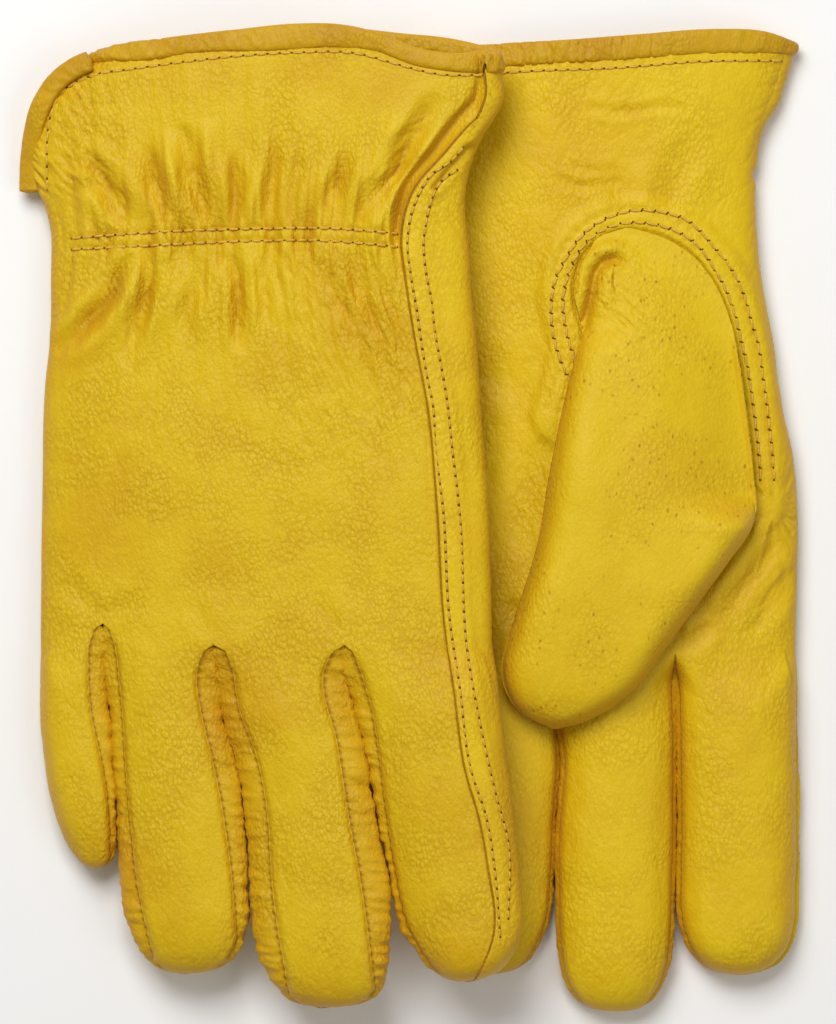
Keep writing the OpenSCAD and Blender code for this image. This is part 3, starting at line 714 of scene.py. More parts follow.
def solid(name, points, faces, material):
    """A mesh object from row-frame points and quads."""
    faces = np.asarray(faces, np.int32)
    points = np.array(points)
    points[:, 2] = np.maximum(points[:, 2], FLOOR_GAP * MM)
    mesh = bpy.data.meshes.new(name)
    mesh.vertices.add(len(points))
    mesh.vertices.foreach_set("co", np.asarray(points, np.float32).ravel())
    mesh.loops.add(faces.size)
    mesh.loops.foreach_set("vertex_index", faces.ravel())
    mesh.polygons.add(len(faces))
    mesh.polygons.foreach_set("loop_start", np.arange(0, faces.size, faces.shape[1],
                                                      dtype=np.int32))
    mesh.polygons.foreach_set("use_smooth", np.ones(len(faces), bool))
    mesh.update(calc_edges=True)
    mesh.materials.append(material)
    ob = bpy.data.objects.new(name, mesh)
    bpy.context.collection.objects.link(ob)
    return ob


# --- The leather of one glove ---------------------------------------------------------------

# Twin rows of stitches along the lapped seam, as (x, y)
LAP_ROWS = [
    [(49.5, 92), (46.5, 88.5), (41.5, 85), (38.6, 80.5), (36.4, 74.5), (35.6, 68),
     (36.5, 60), (38, 51), (39, 44), (40.5, 35), (42, 27.5), (42.5, 18.5),
     (44.5, 1.5), (46, -24.5), (48.5, -41.5), (51.5, -63), (55, -73.5), (57, -85.5),
     (58.5, -103.5)],
    [(48, 86.4), (44.5, 84), (42.4, 81), (40.6, 75), (39.6, 68.5), (40, 62.5),
     (41.5, 54), (42.5, 45.5), (44, 37.5), (45.5, 28.5), (46.5, 19), (48.5, 1.5),
     (50.5, -33.5), (53.5, -50.5), (57.5, -68.5), (60.5, -80), (60.5, -99)]]


def lapped(side, x, y):
    """The palm leather where it lies over the back: its raised edge and its twin rows."""
    beyond = x - LAP_AT(y)
    high = LAP_RAISE + 0.5 * ease(68, 82, y)
    h = 0.35 + (high - 0.35) * ease(8.5, 5, beyond) + 0.12 * noise(x / 5, y / 8, 41)
    h = h + 0.16 * noise((x + y) / 1.6, (x - y) / 6, 42) * ease(55, 75, y)
    h = h + 0.12 * creased(x / 4 + y / 3, y / 3.4, 44)
    for row in LAP_ROWS:
        h = h + pressed_row(x, y, trail(row, 1), LAP_PITCH, 0.3)
    if side == LEFT:
        h = h * (1 - 0.75 * ease(78, 86, y) * ease(106, 98, y))
    crease = trail([(50.5, 92), (46, 87), (42, 82)], 1)
    d, _, _ = near(crease, x, y, 8)
    return h - 0.7 * np.exp(-(d / 0.8) ** 2) + 0.35 * np.exp(-((d - 2) / 1.2) ** 2)


def finger_relief(side, name, ring, marks):
    """The relief of a finger: its seams, the wrinkles between them and a soft waviness."""
    x, y = ring[..., 0], ring[..., 1]
    drop = ring[:1, :, 1] - y
    run = run_across(ring)
    total = run[:, -1:]
    seed = FINGERS.index(name) * 10 + (50 if side == LEFT else 90)
    h = 0.3 * noise(x / 11, y / 19, seed) + 0.15 * noise(x / 5, y / 8, seed + 1)
    h += 0.10 * creased(x / 3.4 + y / 20, y / 5, seed + 2)
    h += 0.12 * creased(x / 2.4, y / 11, seed + 3) * ease(40, 8, drop)
    strength = 0.35 if side == LEFT else 1.15
    pull = 0.4 if side == LEFT else 0.8 + 0.2 * np.cos(2 * math.pi * y / 3.2)
    for key, (a, b) in marks.items():
        if not key.startswith("wall"):
            continue
        wall = slice(a, b + 1)
        wide = np.maximum(run[:, b:b + 1] - run[:, a:a + 1], 0.1)
        share = (run[:, wall] - run[:, a:a + 1]) / wide
        puckers = 0.45 * noise(share * 2.2, y[:, wall] / 1.5, seed + 4) \
            + 0.45 * noise(share * 1.2, y[:, wall] / 4.0, seed + 5)
        swell = np.abs(np.sin(2 * math.pi * np.clip(share, 0, 1))) ** 0.5
        h[:, wall] += strength * puckers * swell
        for c in (a, b):
            d = np.abs(run - run[:, c:c + 1])
            d = np.minimum(d, total - d)
            ripple = 0.7 + 0.5 * noise(y / 2.1, d, seed + 6)
            h -= 0.75 * np.exp(-(d / 0.8) ** 2) * pull
            h += 0.22 * np.exp(-((d - 2.3) / 1.1) ** 2) * ripple
    if name == "index":
        lap, split = marks["lap"]
        region = slice(lap, split + 1) if side == RIGHT else slice(split, lap + 1)
        h[:, region] = (lapped(side, x, y) + 0.5 * h)[:, region]
        h[:, lap] = 0
    return h


def joins(name, marks, cuts):
    """Which columns of a finger's first row are which columns of the hand's first row."""
    if name == "index":
        return [(0, marks["wall_left"][0], cuts[4])]
    k = {"little": (0, 11), "ring": (2, 10), "middle": (3, 9)}[name]
    return [(0, marks["upper"][1], cuts[k[0]]), (*marks["lower"], cuts[k[1]])]


def average_border(hand_n, finger_n, links):
    """Makes a finger and the hand share their normals where they meet."""
    for a, b, c in links:
        both = unit(finger_n[0, a:b + 1] + hand_n[0, c:c + b - a + 1])
        finger_n[0, a:b + 1] = both
        hand_n[0, c:c + b - a + 1] = both


def hand_relief(side, base, lap, split):
    """How far the hand's leather stands off its smooth shape."""
    x, y = base[..., 0], base[..., 1]
    cols = np.arange(base.shape[1])
    upper, lower = back_relief(x, y), palm_relief(x, y)
    if side == LEFT:
        upper, lower = lower, upper
    pressed = np.where(np.abs(x) < 60, 0.35 + 0.65 * ease(0.3, 3.5, base[..., 2]), 1)
    h = np.where(cols >= split, lower * pressed, upper)
    h *= np.clip(np.minimum(cols, cols[-1] - cols) / 6, 0, 1)
    wrap = slice(lap, split) if side == RIGHT else slice(split, lap + 1)
    h[:, wrap] = (lapped(side, x, y) + 0.35 * noise(x / 12, y / 20, 43))[:, wrap]
    w = np.linspace(0, 1, JOIN + 1)
    if side == RIGHT:
        run_out = slice(split - 1, split + JOIN)
        h[:, run_out] = mix(h[:, split - 1:split], h[:, run_out], w)
    else:
        run_out = slice(split - JOIN, split + 1)
        h[:, run_out] = mix(h[:, run_out], h[:, split:split + 1], w)
    h[:, lap] = 0
    return h


def build_glove(side):
    """The skins of a glove's hand and fingers, as grids of points and normals."""
    base, cuts = hand_grid(side)
    split = cuts[6] + ARC
    lap, step = (cuts[5], 1) if side == RIGHT else (cuts[8], -1)
    base[:, lap + step] = mix(base[:, lap], base[:, lap + step], LAP_STEP)
    h = hand_relief(side, base, lap, split)
    hand_n = normals(base, True, -1)

    fingers = {}
    for name in FINGERS:
        ring, marks = finger_grid(side, name, base, cuts)
        if name == "index":
            c = marks["lap"][0]
            ring[:, c + step] = mix(ring[:, c], ring[:, c + step], LAP_STEP)
        n = normals(ring, True, 1)
        links = joins(name, marks, cuts)
        average_border(hand_n, n, links)
        fingers[name] = ring, marks, n, links
    skin = base + hand_n * h[..., None]
    skin[..., 2] = np.maximum(skin[..., 2], LOWEST)
    skin_n = normals(skin, True, -1)
    out = {}
    for name, (ring, marks, n, links) in fingers.items():
        own = finger_relief(side, name, ring, marks)
        w = ease(0, 7, ring[:1, :, 1] - ring[..., 1])
        for a, b, c in links:
            cols, hand_cols = slice(a, b + 1), slice(c, c + b - a + 1)
            own[:, cols] = mix(h[:1, hand_cols], own[:, cols], w[:, cols])
            own[0, cols] = h[0, hand_cols]
            n[0, cols] = hand_n[0, hand_cols]
        own *= ease(0, 4, ring[..., 1] - SHAPE[side][name]["tip"][1]) * 0.8 + 0.2
        p = ring + n * own[..., None]
        p[..., 2] = np.maximum(p[..., 2], LOWEST)
        fn = normals(p, True, 1)
        average_border(skin_n, fn, links)
        out[name] = (p, marks, fn)
    return dict(skin=skin, n=skin_n, lap=lap, fingers=out)


def part(grid, a, b):
    """Columns a to b of a grid."""
    return grid[:, a:b + 1]


def dress(side, glove, mats):
    """Makes the objects of the hand and the fingers, each leather piece on its own."""
    lap, skin, n = glove["lap"], glove["skin"], glove["n"]
    end = skin.shape[1] - 1
    upper, lower = ("back", "palm") if side == RIGHT else ("palm", "back")
    hand = side + "_hand"
    for what in ("back", "palm"):
        a, b = (0, lap) if what == upper else (lap, end)
        ob = sheet(f"{side}_{what}_leather", side, part(skin, a, b), mats[what],
                   part(n, a, b), -1)
        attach(ob, hand)
        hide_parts(f"{side}_{what}_panel")
        if what == "palm":
            raw_edge(ob, b - a, side, mats)
    for name, (p, marks, fn) in glove["fingers"].items():
        walls = [k for k in ("wall_left", "wall_right") if k in marks]
        seam = np.zeros(p.shape[:2])
        for ends in (list(marks[k]) for k in walls):
            seam[:, ends] = 0.86 + 0.14 * np.cos(p[:, ends, 1] * math.pi)
        if name == "index":
            seam[:, 0] = seam[:, -1]
            c = marks["lap"][0]
            pieces = [(upper, 0, c), (lower, c, marks["wall_left"][0])]
        else:
            pieces = [(upper, *marks["upper"]), (lower, *marks["lower"])]
        pieces += [("wall", *marks[k]) for k in walls]
        for number, (what, a, b) in enumerate(pieces):
            face = "front" if what == "palm" else what
            suffix = f"_{number}" if what == "wall" and name in ("ring", "middle") else ""
            ob = sheet(f"{side}_{name}_{face}_leather{suffix}", side, part(p, a, b),
                       mats[what],
                       part(fn, a, b), 1, part(seam, a, b))
            if name == "index" and what == "palm":
                raw_edge(ob, b - a, side, mats)
            follow(side, name, ob)
            replace_finger(side, name, face, number)


def raw_edge(ob, columns_across, side, mats):
    """The cut edge of the palm leather where it laps over the back shows its suede."""
    ob.data.materials.append(mats["suede"])
    index = np.zeros(len(ob.data.polygons), np.int32)
    index.reshape(-1, columns_across)[:, 0 if side == RIGHT else -1] = 1
    ob.data.polygons.foreach_set("material_index", index)


# Where each finger starts and ends to turn, in its glove's own frame
BENDS = {
    (LEFT, "index"): ((38.5, -34.5, 10), (38.5, -50, 10)),
    (LEFT, "middle"): ((7, -61, 10), (7, -74, 10)),
    (RIGHT, "index"): ((38.5, -32.5, 10), (38.5, -46, 10)),
    (RIGHT, "middle"): ((4, -32.5, 10), (4, -46, 10)),
    (RIGHT, "ring"): ((-26, -32.5, 10), (-26, -46, 10)),
    (RIGHT, "little"): ((-48, -30.5, 10), (-48, -44, 10))}


def follow(side, name, ob):
    """Attaches a piece to its hand where its finger has no joint; where it has one, only bakes the
    piece's transform.
    """
    hand = side + "_hand"
    if (side, name) not in BENDS:
        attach(ob, hand)
        return
    a, b = BENDS[side, name]
    tuple(place(side, a))
    tuple(place(side, b))
    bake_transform(ob)


def replace_finger(side, name, face, number):
    """Hides the CAD nodes that a finger piece stands for."""
    if face == "wall":
        if number > 2:
            return
        word = "fourchette" if name in ("index", "little") else "fourchettes"
    else:
        word = face
    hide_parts(f"{side}_{name}_{word}")
    if side == LEFT and name == "middle":
        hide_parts(f"left_middle_root_{word}")


# --- Thumb ----------------------------------------------------------------------------------

# The thumb's left and right contours, from its root in the keystone to its tip, as (y, x)
THUMB_LEFT = [(72.5, 13), (71, 8), (67, 4), (62, 1.2), (56, 0), (51, 1.2), (47, 2.2),
              (40, 0.4), (30, -2), (10, -6), (-9.5, -9.4), (-25, -14.3), (-33, -16.8),
              (-39, -18), (-44, -16.8), (-48, -13.8), (-51, -9.5), (-52.6, -5)]
THUMB_RIGHT = [(72.5, 14.5), (71, 20), (67, 28), (61.5, 33.5), (54.5, 37.5), (46, 40.2),
               (35, 42.3), (24, 43.8), (12, 45.1), (3, 45.6), (-1, 44.5), (-9, 39),
               (-20, 31), (-31, 23), (-39.5, 17.2), (-45, 12), (-49, 6.5), (-51.6, 0.5),
               (-52.6, -4)]
HOOK = [(2.6, 47.5), (3.6, 52), (4.6, 56.5), (5.8, 61.5), (8.2, 64.3), (10.2, 64.7),
        (12.6, 63.6), (14.2, 60.5)]
THUMB_CROWN = [(73, 0.2), (66, 1.2), (60, 3), (52, 5), (44, 6.6), (30, 8.6), (10, 10.2),
               (-15, 10.8), (-38, 9.8), (-53, 8)]


def thumb_relief(x, y, d_left, d_right, free):
    """The hook-shaped seam at the thumb's root, and the folds and dents of its face."""
    hook = trail(HOOK, 0.7)
    total = path_length(hook)
    d, s, side = near(hook, x, y, 16)
    fade = ease(total, total - 9, s)
    roll = np.exp(-((d - 3.0) / 2.0) ** 2) * (side > 0) * ease(46, 52, y) * 1.9
    inner = np.exp(-((d - 3.5) / 2.6) ** 2) * (side < 0) * ease(42, 52, y) * 1.2
    h = (roll + inner) * fade - 1.7 * np.exp(-(d / 0.9) ** 2) * fade * ease(45, 49, y)
    pucker = 0.7 * noise(s / 1.3, d / 5, 61) * np.exp(-d / 5) * fade * ease(46, 50, y)
    h = h + pucker * ease(0.5, 3, d_left)
    fan = 0.5 * creased((x * 0.6 + y) / 2.6, (x - y) / 9, 62)
    h += fan * np.exp(-(((x - 14) / 9) ** 2 + ((y - 52) / 12) ** 2))
    h += (0.55 * noise(x / 15, y / 26, 63) + 0.14 * noise(x / 5, y / 7, 64)) * free
    dent = np.exp(-(((x - 21) * 0.8 + (y - 8) * 0.45) / 7) ** 2) * ease(40, 20, y)
    return h - 0.9 * dent * ease(-30, -8, y) * ease(0, 10, d_left) * ease(0, 10, d_right)


def thumb_grid():
    """The thumb folded over the palm, with the flat root sewn into the palm, as one closed
    ring of columns: over the top from left to right and back underneath."""
    v = np.linspace(0, 1, THUMB_ROWS)[:, None]
    top_y, tip_y = THUMB_LEFT[0][0], THUMB_LEFT[-1][0]
    row_y = top_y + (tip_y - top_y) * v
    left, right = smooth(THUMB_LEFT)(row_y), smooth(THUMB_RIGHT)(row_y)
    tilt = 1.6 * ease(60, -10, row_y) * ease(-52, -35, row_y)
    root = ease(40, 52, row_y)
    sewn = ease(-2, 8, row_y)
    end = arch(np.clip((-40 - row_y) / 12.6, 0, 1), 2.4)

    u = np.linspace(0, 1, THUMB_TOP)[None, :]
    u = mix(u, 0.5 - 0.5 * np.cos(math.pi * u), 0.65)
    x, y = left + (right - left) * u, row_y - tilt * (2 * u - 1)
    d_left, d_right = x - left, right - x
    # the free left side is a rolled edge; its root is flat, and rises beyond the hook
    edge_left = arch(np.clip(1 - d_left / 10, 0, 1), 2.3)
    edge_right = mix(arch(np.clip(1 - d_right / 9, 0, 1), 2.3),
                     0.02 + 0.98 * ease(0, 27, d_right) ** 0.75, sewn)
    swell = ease(-2, 15, d_left) * ease(0, 22, d_right)
    crown = smooth(THUMB_CROWN)(row_y) * mix(edge_left * edge_right * end, swell, root)
    z = THUMB_REST + 0.3 * sewn + crown + thumb_relief(x, y, d_left, d_right, 1 - root)
    z = np.maximum(z, THUMB_REST - 0.05)

    u = np.linspace(1, 0, THUMB_UNDER)[None, :]
    low_x = left + (right - left) * u
    under_edge = np.minimum(arch(np.clip(1 - (low_x - left) / 5, 0, 1), 2),
                            arch(np.clip(1 - (right - low_x) / 5, 0, 1), 2))
    low_z = THUMB_REST - 0.1 + 3.4 * end * (1 - root) * (1 - under_edge)
    z[:, 0] = np.maximum(z[:, 0], low_z[:, -1])
    top = np.stack([x, y, z], 2)
    low = np.stack([low_x, row_y - tilt * (2 * u - 1), low_z], 2)
    top[:, 0] = (top[:, 0] + low[:, -1]) / 2
    top[:, -1] = (top[:, -1] + low[:, 0]) / 2
    low[:, 0], low[:, -1] = top[:, -1], top[:, 0]
    return np.concatenate([top, low[:, 1:]], 1)


def lay_thumb(side, mats):
    """The thumb and its keystone. The right one is pressed flat under its palm."""
    p = thumb_grid()
    way = 1 if side == LEFT else -1
    if side == RIGHT:
        p[..., 2] = -(p[..., 2] - THUMB_REST) * 0.5 - 0.05
    n = normals(p, True, way)
    for what, a, b in (("front", 0, THUMB_TOP - 1), ("back", THUMB_TOP - 1, p.shape[1] - 1)):
        ob = sheet(f"{side}_thumb_{what}_leather", side, part(p, a, b), mats["thumb"],
                   part(n, a, b), way)
        if side == LEFT:
            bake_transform(ob)
        else:
            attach(ob, "right_hand")
        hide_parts(f"{side}_thumb_{what}")
        if what == "front":
            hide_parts(f"{side}_keystone")


# --- Trim -----------------------------------------------------------------------------------

def lining(side, glove, mat):
    """The inner, suede face of the leather, seen in the mouth of the cuff and the slit."""
    skin = glove["skin"] - glove["n"] * LEATHER
    rows = np.r_[0:skin.shape[0] - 1:4, skin.shape[0] - 1]
    p, n = skin[rows], -glove["n"][rows]
    ob = sheet(f"{side}_lining", side, p, mat, n, 1)
    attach(ob, side + "_hand")


def tube(name, side, path, normal, across, thick, mat, seed):
    """A folded leather strip along a path: across and thick are its half sizes."""
    turns = np.linspace(0, 2 * math.pi, 33)
    s = np.concatenate([[0], np.cumsum(np.linalg.norm(np.diff(path, axis=0), axis=1))])
    t = unit(np.gradient(path, axis=0))
    normal = unit(normal - t * (normal * t).sum(1)[:, None])
    wide = np.cross(normal, t)
    c, d = np.cos(turns), np.sin(turns)
    across = np.broadcast_to(across, len(path))[:, None]
    flat = np.sign(c) * np.abs(c) ** 0.62
    tall = np.sign(d) * np.abs(d) ** 0.8
    end = arch(np.clip(1 - np.minimum(s, s[-1] - s) / 0.9, 0, 1), 2)[:, None]
    pucker = noise((s[:, None] + 1.6 * flat) / 1.6, flat * 0.7, seed) \
        + noise((s[:, None] - flat) / 4.5, flat * 0.5, seed + 1)
    p = (path[:, None] + wide[:, None] * (across * flat * end)[..., None]
         + normal[:, None] * ((thick + 0.24 * pucker) * tall * end)[..., None])
    n = normals(p, True, 1)
    half = len(p) // 2
    way = 1 if ((p[half, 8] - path[half]) * n[half, 8]).sum() >= 0 else -1
    ob = sheet(name, side, p, mat, way * n, way)
    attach(ob, side + "_hand")
    return ob


RIM_GAP = 4                                # columns of the rim left open at the slit
CUFF_STRIP, SLIT_STRIP = 1.45, (2.6, 1.6)  # half thickness; half width and half thickness
SLIT = [(-61.9, 81.5), (-61.6, 90), (-60.4, 98), (-58.3, 104.6), (-54, 111), (-49, 114.8),
        (-44.2, 116.9)]
# The outer edge of the cuff's binding, as (x, y)
BIND_TOP = {
    (RIGHT, "upper"): [(-58, 104), (-50, 112), (-43.5, 116.8), (-36, 118.6), (-26.5, 119.6),
                       (-6.5, 121.6), (8.5, 122.9), (20, 122.4), (28, 120.4), (36, 117.2),
                       (44, 115.4), (58, 115)],
    (RIGHT, "lower"): [(-58, 104), (-50, 112), (-43.5, 116.8), (-36, 118.6), (-26.5, 119.6),
                       (-6.5, 121.6), (8.5, 122.6), (21.5, 122.4), (33.5, 121), (46.5, 119.4),
                       (54, 117.5), (58, 116)],
    (LEFT, "upper"): [(-56, 104), (-44, 115), (-18.5, 118.8), (-3.5, 119.5), (16.5, 121),
                      (36.5, 122.4), (48, 122), (56, 119.8)],
    (LEFT, "lower"): [(-56, 104), (-44, 115), (-18.5, 118.6), (-3.5, 119.2), (16.5, 120.6),
                      (36.5, 121.8), (48, 121.4), (56, 119.5)]}


def bindings(side, glove, mats):
    """The folded strips on the cuff's edge and on the ulnar slit."""
    around = slice(RIM_GAP, -RIM_GAP)
    n = glove["n"][-1, around]
    rim = glove["skin"][-1, around] - n * LEATHER / 2
    top = mix(smooth(BIND_TOP[side, "lower"])(rim[:, 0]),
              smooth(BIND_TOP[side, "upper"])(rim[:, 0]), ease(3, HAND_TOP - 2, rim[:, 2]))
    across = np.clip((top - rim[:, 1] + 0.8) / 2, 1.6, 3.6)
    rim[:, 1] = top - across
    ob = tube(f"{side}_cuff_binding_leather", side, rim, n, across, CUFF_STRIP,
              mats["binding"], 13)
    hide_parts(f"{side}_cuff_binding")
    route = sideways(trail(SLIT, 0.6), -SLIT_STRIP[0])
    x, y = route.T
    if side == LEFT:
        z = np.full(len(route), HAND_MID * 0.8)
    else:
        z = mix(HAND_MID, hand_z(side, x + 1.5, y, True), ease(86, 104, y)) + 0.3
    lean = np.tile([-0.45, 0.0, 1.0], (len(route), 1))
    ob = tube(f"{side}_slit_binding_leather", side, np.column_stack([route, z]), lean,
              *SLIT_STRIP, mats["binding"], 17)
    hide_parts(f"{side}_slit_binding")


def elastic(side, mat):
    """The ribbed elastic sewn inside the back of the wrist."""
    x = np.linspace(-38, 32 if side == RIGHT else 21, 220)
    u = np.linspace(-1, 1, 25)
    gx, gu = np.meshgrid(x, u, indexing="ij")
    z = (HAND_TOP - 4 if side == RIGHT else 2.6) + 0.25 * np.sin(gx * 2.1) \
        + 0.12 * np.cos(gu * 14)
    p = np.stack([gx, WRIST_Y + gu * 3, z], 2)
    n = normals(p, False, 1)
    n *= np.sign(n[..., 2:3])
    ob = sheet(f"{side}_elastic", side, p, mat, n, 1)
    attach(ob, side + "_hand")
    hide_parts(f"{side}_wrist_elastic")


def surface_of(glove, lower):
    """A function that finds the height of the leather on one face of a glove."""
    points, faces, start = [], [], 0
    for g in [glove["skin"]] + [f[0] for f in glove["fingers"].values()]:
        g = g[::2, ::2]
        faces.append(quads(*g.shape[:2]) + start)
        points.append(g.reshape(-1, 3))
        start += len(points[-1])
    tree = BVHTree.FromPolygons(np.concatenate(points).tolist(),
                                np.concatenate(faces).tolist())
    sign = 1 if lower else -1

    def height(x, y):
        hit = tree.ray_cast(Vector((x, y, -50.0 * sign)), Vector((0, 0, sign)))
        return hit[0].z if hit[0] is not None else None

    return height


RING = np.linspace(0, 2 * math.pi, 8, endpoint=False)      # angles round a thread or a hole
STEPS = np.linspace(0, 1, 7)                               # places along a stitch


def one_stitch(height, a, b, za, zb, up, thick):
    """The rings of points of a stitch from a to b: it bows up and follows the leather."""
    bow = np.sin(math.pi * STEPS)
    line = np.column_stack([mix(a[None], b[None], STEPS[:, None]),
                            mix(za, zb, STEPS) + up * (0.38 * bow ** 0.6 - 0.16)])
    mid = height(*mix(a, b, 0.5))
    if mid is not None and abs(mid - (za + zb) / 2) < 0.8:
        line[:, 2] += (mid - (za + zb) / 2) * bow
    along = unit(np.gradient(line, axis=0))
    wide = unit(np.cross(along, np.array([0, 0, 1.0])))
    tall = np.cross(wide, along)
    radius = thick * (0.45 + 0.55 * np.minimum(1, bow * 2.2))[:, None, None]
    return (line[:, None] + wide[:, None] * (np.cos(RING)[:, None] * radius)
            + tall[:, None] * (np.sin(RING)[:, None] * radius))


def hole_shadow_disc(at, z, up, size):
    """A small domed dark disc where a stitch goes into the leather: painted shadow of the hole."""
    r = np.array([0.02, 0.8, 1.0])[:, None] * size
    rise = up * np.array([0.11, 0.1, -0.1])[:, None] + 0 * RING
    return np.stack([at[0] + r * np.cos(RING), at[1] + r * np.sin(RING), z + rise], 2)


def bundle(name, side, grids, mat, on):
    """One mesh from many small closed grids of one size."""
    rows, cols = grids[0].shape[:2]
    faces = [ring_quads(rows, cols) + k * rows * cols for k in range(len(grids))]
    points = np.concatenate([g.reshape(-1, 3) for g in grids])
    ob = solid(name, place(side, points), np.concatenate(faces), mat)
    follow(side, on, ob)
    return ob


def stitches(name, side, rows, height, pitch, lower, mats, on, node, thick, slant, hole_size):
    """Rows of separate stitches on the leather, with a dark disc, painted shadow of the hole, where
    each one goes in.
    """
    up = -1 if lower else 1
    threads, holes = [], []
    for row in rows:
        path = trail(row, pitch)
        for a, b in zip(path[:-1], path[1:]):
            lean = (b - a)[::-1] * np.array([-1, 1]) * slant
            a2, b2 = mix(a, b, 0.06) + lean, mix(a, b, 0.94) - lean
            za, zb = height(*a2), height(*b2)
            if za is None or zb is None or abs(za - zb) > 2.5:
                continue
            threads.append(one_stitch(height, a2, b2, za, zb, up, thick))
            holes += [hole_shadow_disc(a2, za, up, hole_size), hole_shadow_disc(b2, zb, up, hole_size)]
    ob = bundle(name, side, threads, mats["thread"], on)
    if node:
        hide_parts(node)
    bundle(name + "_hole_shadows", side, holes, mats["hole"], on)


# Rows of stitches, as (x, y)
HEM = {
    (RIGHT, "upper"): [(-54.5, 82), (-54.6, 92), (-54, 99.5), (-51.5, 106), (-43.5, 110.5),
                       (-33.5, 112), (-16.5, 114), (6.5, 115.6), (23.5, 115.2), (33.5, 112.4),
                       (43.5, 110), (54.5, 109.8)],
    (RIGHT, "lower"): [(-46, 108), (-20, 114), (10, 115.6), (40, 113.6), (53, 110)],
    (LEFT, "upper"): [(-46, 108), (-18.5, 111.3), (11.5, 112.6), (31.5, 114.2), (52.5, 114.6)],
    (LEFT, "lower"): [(-46, 108), (-18.5, 111.3), (11.5, 112.6), (31.5, 114.2), (50, 114.4)]}

KEYSTONE_OUTER = [(-0.5, 33), (-4.6, 44), (-5.5, 52.5), (-4.5, 59.5), (-1.5, 65.5), (2, 70.5),
                  (7.5, 74.5), (13, 76.5), (18, 77), (22, 76.5), (28.5, 74.5), (31.5, 72),
                  (35.5, 67.5), (39.5, 62.5), (42.5, 56.5), (44.5, 49.5), (46.5, 43),
                  (47.5, 35.5), (48.5, 28.5), (49.5, 19.5), (50.5, 9.5)]
KEYSTONE_INNER = [(0.5, 39), (-2, 48), (-2.6, 55), (-1.5, 60), (0.5, 65), (3.6, 69.3),
                  (8, 72.3), (15, 73.9), (23.5, 72.6), (30.5, 68.8), (35.5, 62), (38.5, 56.3),
                  (40.5, 50.5), (42, 44.5), (43.5, 38.5), (44.5, 32), (45.5, 25), (47, 9.5)]


def sew(side, glove, mats):
    """Every row of stitches of a glove."""
    lower = {"back": side == LEFT, "palm": side == RIGHT}
    height = {face: surface_of(glove, lower[face]) for face in lower}

    def hem(face):
        return [HEM[side, "lower" if lower[face] else "upper"]]

    # name, rows, face, pitch, what it follows, the node it replaces; thickness, slant, hole
    for name, rows, face, pitch, on, node, size in (
            ("hem_back", hem("back"), "back", HEM_PITCH, "hand", "hem_stitches", (0.3, 0, 0.3)),
            ("hem_palm", hem("palm"), "palm", HEM_PITCH, "hand", None, (0.3, 0, 0.3)),
            ("wrist_rows", WRIST_ROWS, "back", WRIST_PITCH, "hand", "wrist_stitches",
             (0.32, 0, 0.24)),
            ("lap_rows", LAP_ROWS, "back", LAP_PITCH, "index", "lap_stitches",
             (0.24, 0, 0.36)),
            ("thumb_rows", [KEYSTONE_OUTER, KEYSTONE_INNER], "palm", THUMB_PITCH, "hand",
             "thumb_seam", (0.3, 0.06, 0.34))):
        stitches(f"{side}_{name}", side, rows, height[face], pitch, lower[face], mats, on,
                 node and f"{side}_{node}", *size)


# --- Materials ------------------------------------------------------------------------------

class Nodes:
    """Adds and links shader nodes of one material."""

    def __init__(self, name):
        self.mat = bpy.data.materials.new(name)
        self.mat.use_nodes = True
        self.tree = self.mat.node_tree
        self.bsdf = self.tree.nodes["Principled BSDF"]

    def put(self, socket, value):
        if isinstance(value, bpy.types.NodeSocket):
            self.tree.links.new(value, socket)
        else:
            socket.default_value = value

    def add(self, kind, inputs=(), **settings):
        node = self.tree.nodes.new(kind)
        for key, value in settings.items():
            setattr(node, key, value)
        for key, value in dict(inputs).items():
            self.put(node.inputs[key], value)
        return node

    def math(self, operation, a, b=0.0, clamp=False):
        node = self.add("ShaderNodeMath", {0: a, 1: b}, operation=operation, use_clamp=clamp)
        return node.outputs[0]

    def times(self, a, b):
        return self.math("MULTIPLY", a, b)

    def vector(self, operation, a, b):
        return self.add("ShaderNodeVectorMath", {0: a, 1: b}, operation=operation).outputs[0]

    def noise(self, at, scale, detail, distortion=0.0, output="Fac"):
        node = self.add("ShaderNodeTexNoise", {"Vector": at, "Scale": scale, "Detail": detail,
                                               "Distortion": distortion})
        return node.outputs[output]

    def cells(self, at, scale):
        return self.add("ShaderNodeTexVoronoi", {"Vector": at, "Scale": scale}).outputs["Distance"]

    def painted(self, name):
        """A value stored on the mesh's points."""
        return self.add("ShaderNodeAttribute", attribute_name=name).outputs["Fac"]

    def ramp(self, value, low, high):
        node = self.add("ShaderNodeMapRange", {"Value": value, "From Min": low, "From Max": high},
                        interpolation_type="SMOOTHSTEP")
        return node.outputs["Result"]

    def blend(self, a, b, factor):
        node = self.add("ShaderNodeMix", {0: factor}, data_type="RGBA")
        self.put(node.inputs[6], a)
        self.put(node.inputs[7], b)
        return node.outputs[2]

    def bump(self, height, strength, distance):
        node = self.add("ShaderNodeBump", {"Height": height, "Strength": strength,
                                           "Distance": distance})
        return node.outputs["Normal"]

    def set(self, **values):
        for key, value in values.items():
            self.put(self.bsdf.inputs[key.replace("_", " ")], value)


def rgb(r, g, b):
    """A linear colour from 0..255 display values."""
    def channel(v):
        v /= 255
        return v / 12.92 if v <= 0.04045 else ((v + 0.055) / 1.055) ** 2.4
    return channel(r), channel(g), channel(b), 1.0


# This colour is the grain's own darker colour in its lines and pores, and is also painted shade laid
# into the creases and hollows.
GRAIN_AND_CREASE_SHADE = rgb(172, 112, 6)
SEAM = rgb(132, 80, 4)
# Painted shade: a darker orange laid on the steep sides of fingers, folds and edges.
PAINTED_SIDE_SHADE = rgb(204, 146, 6)


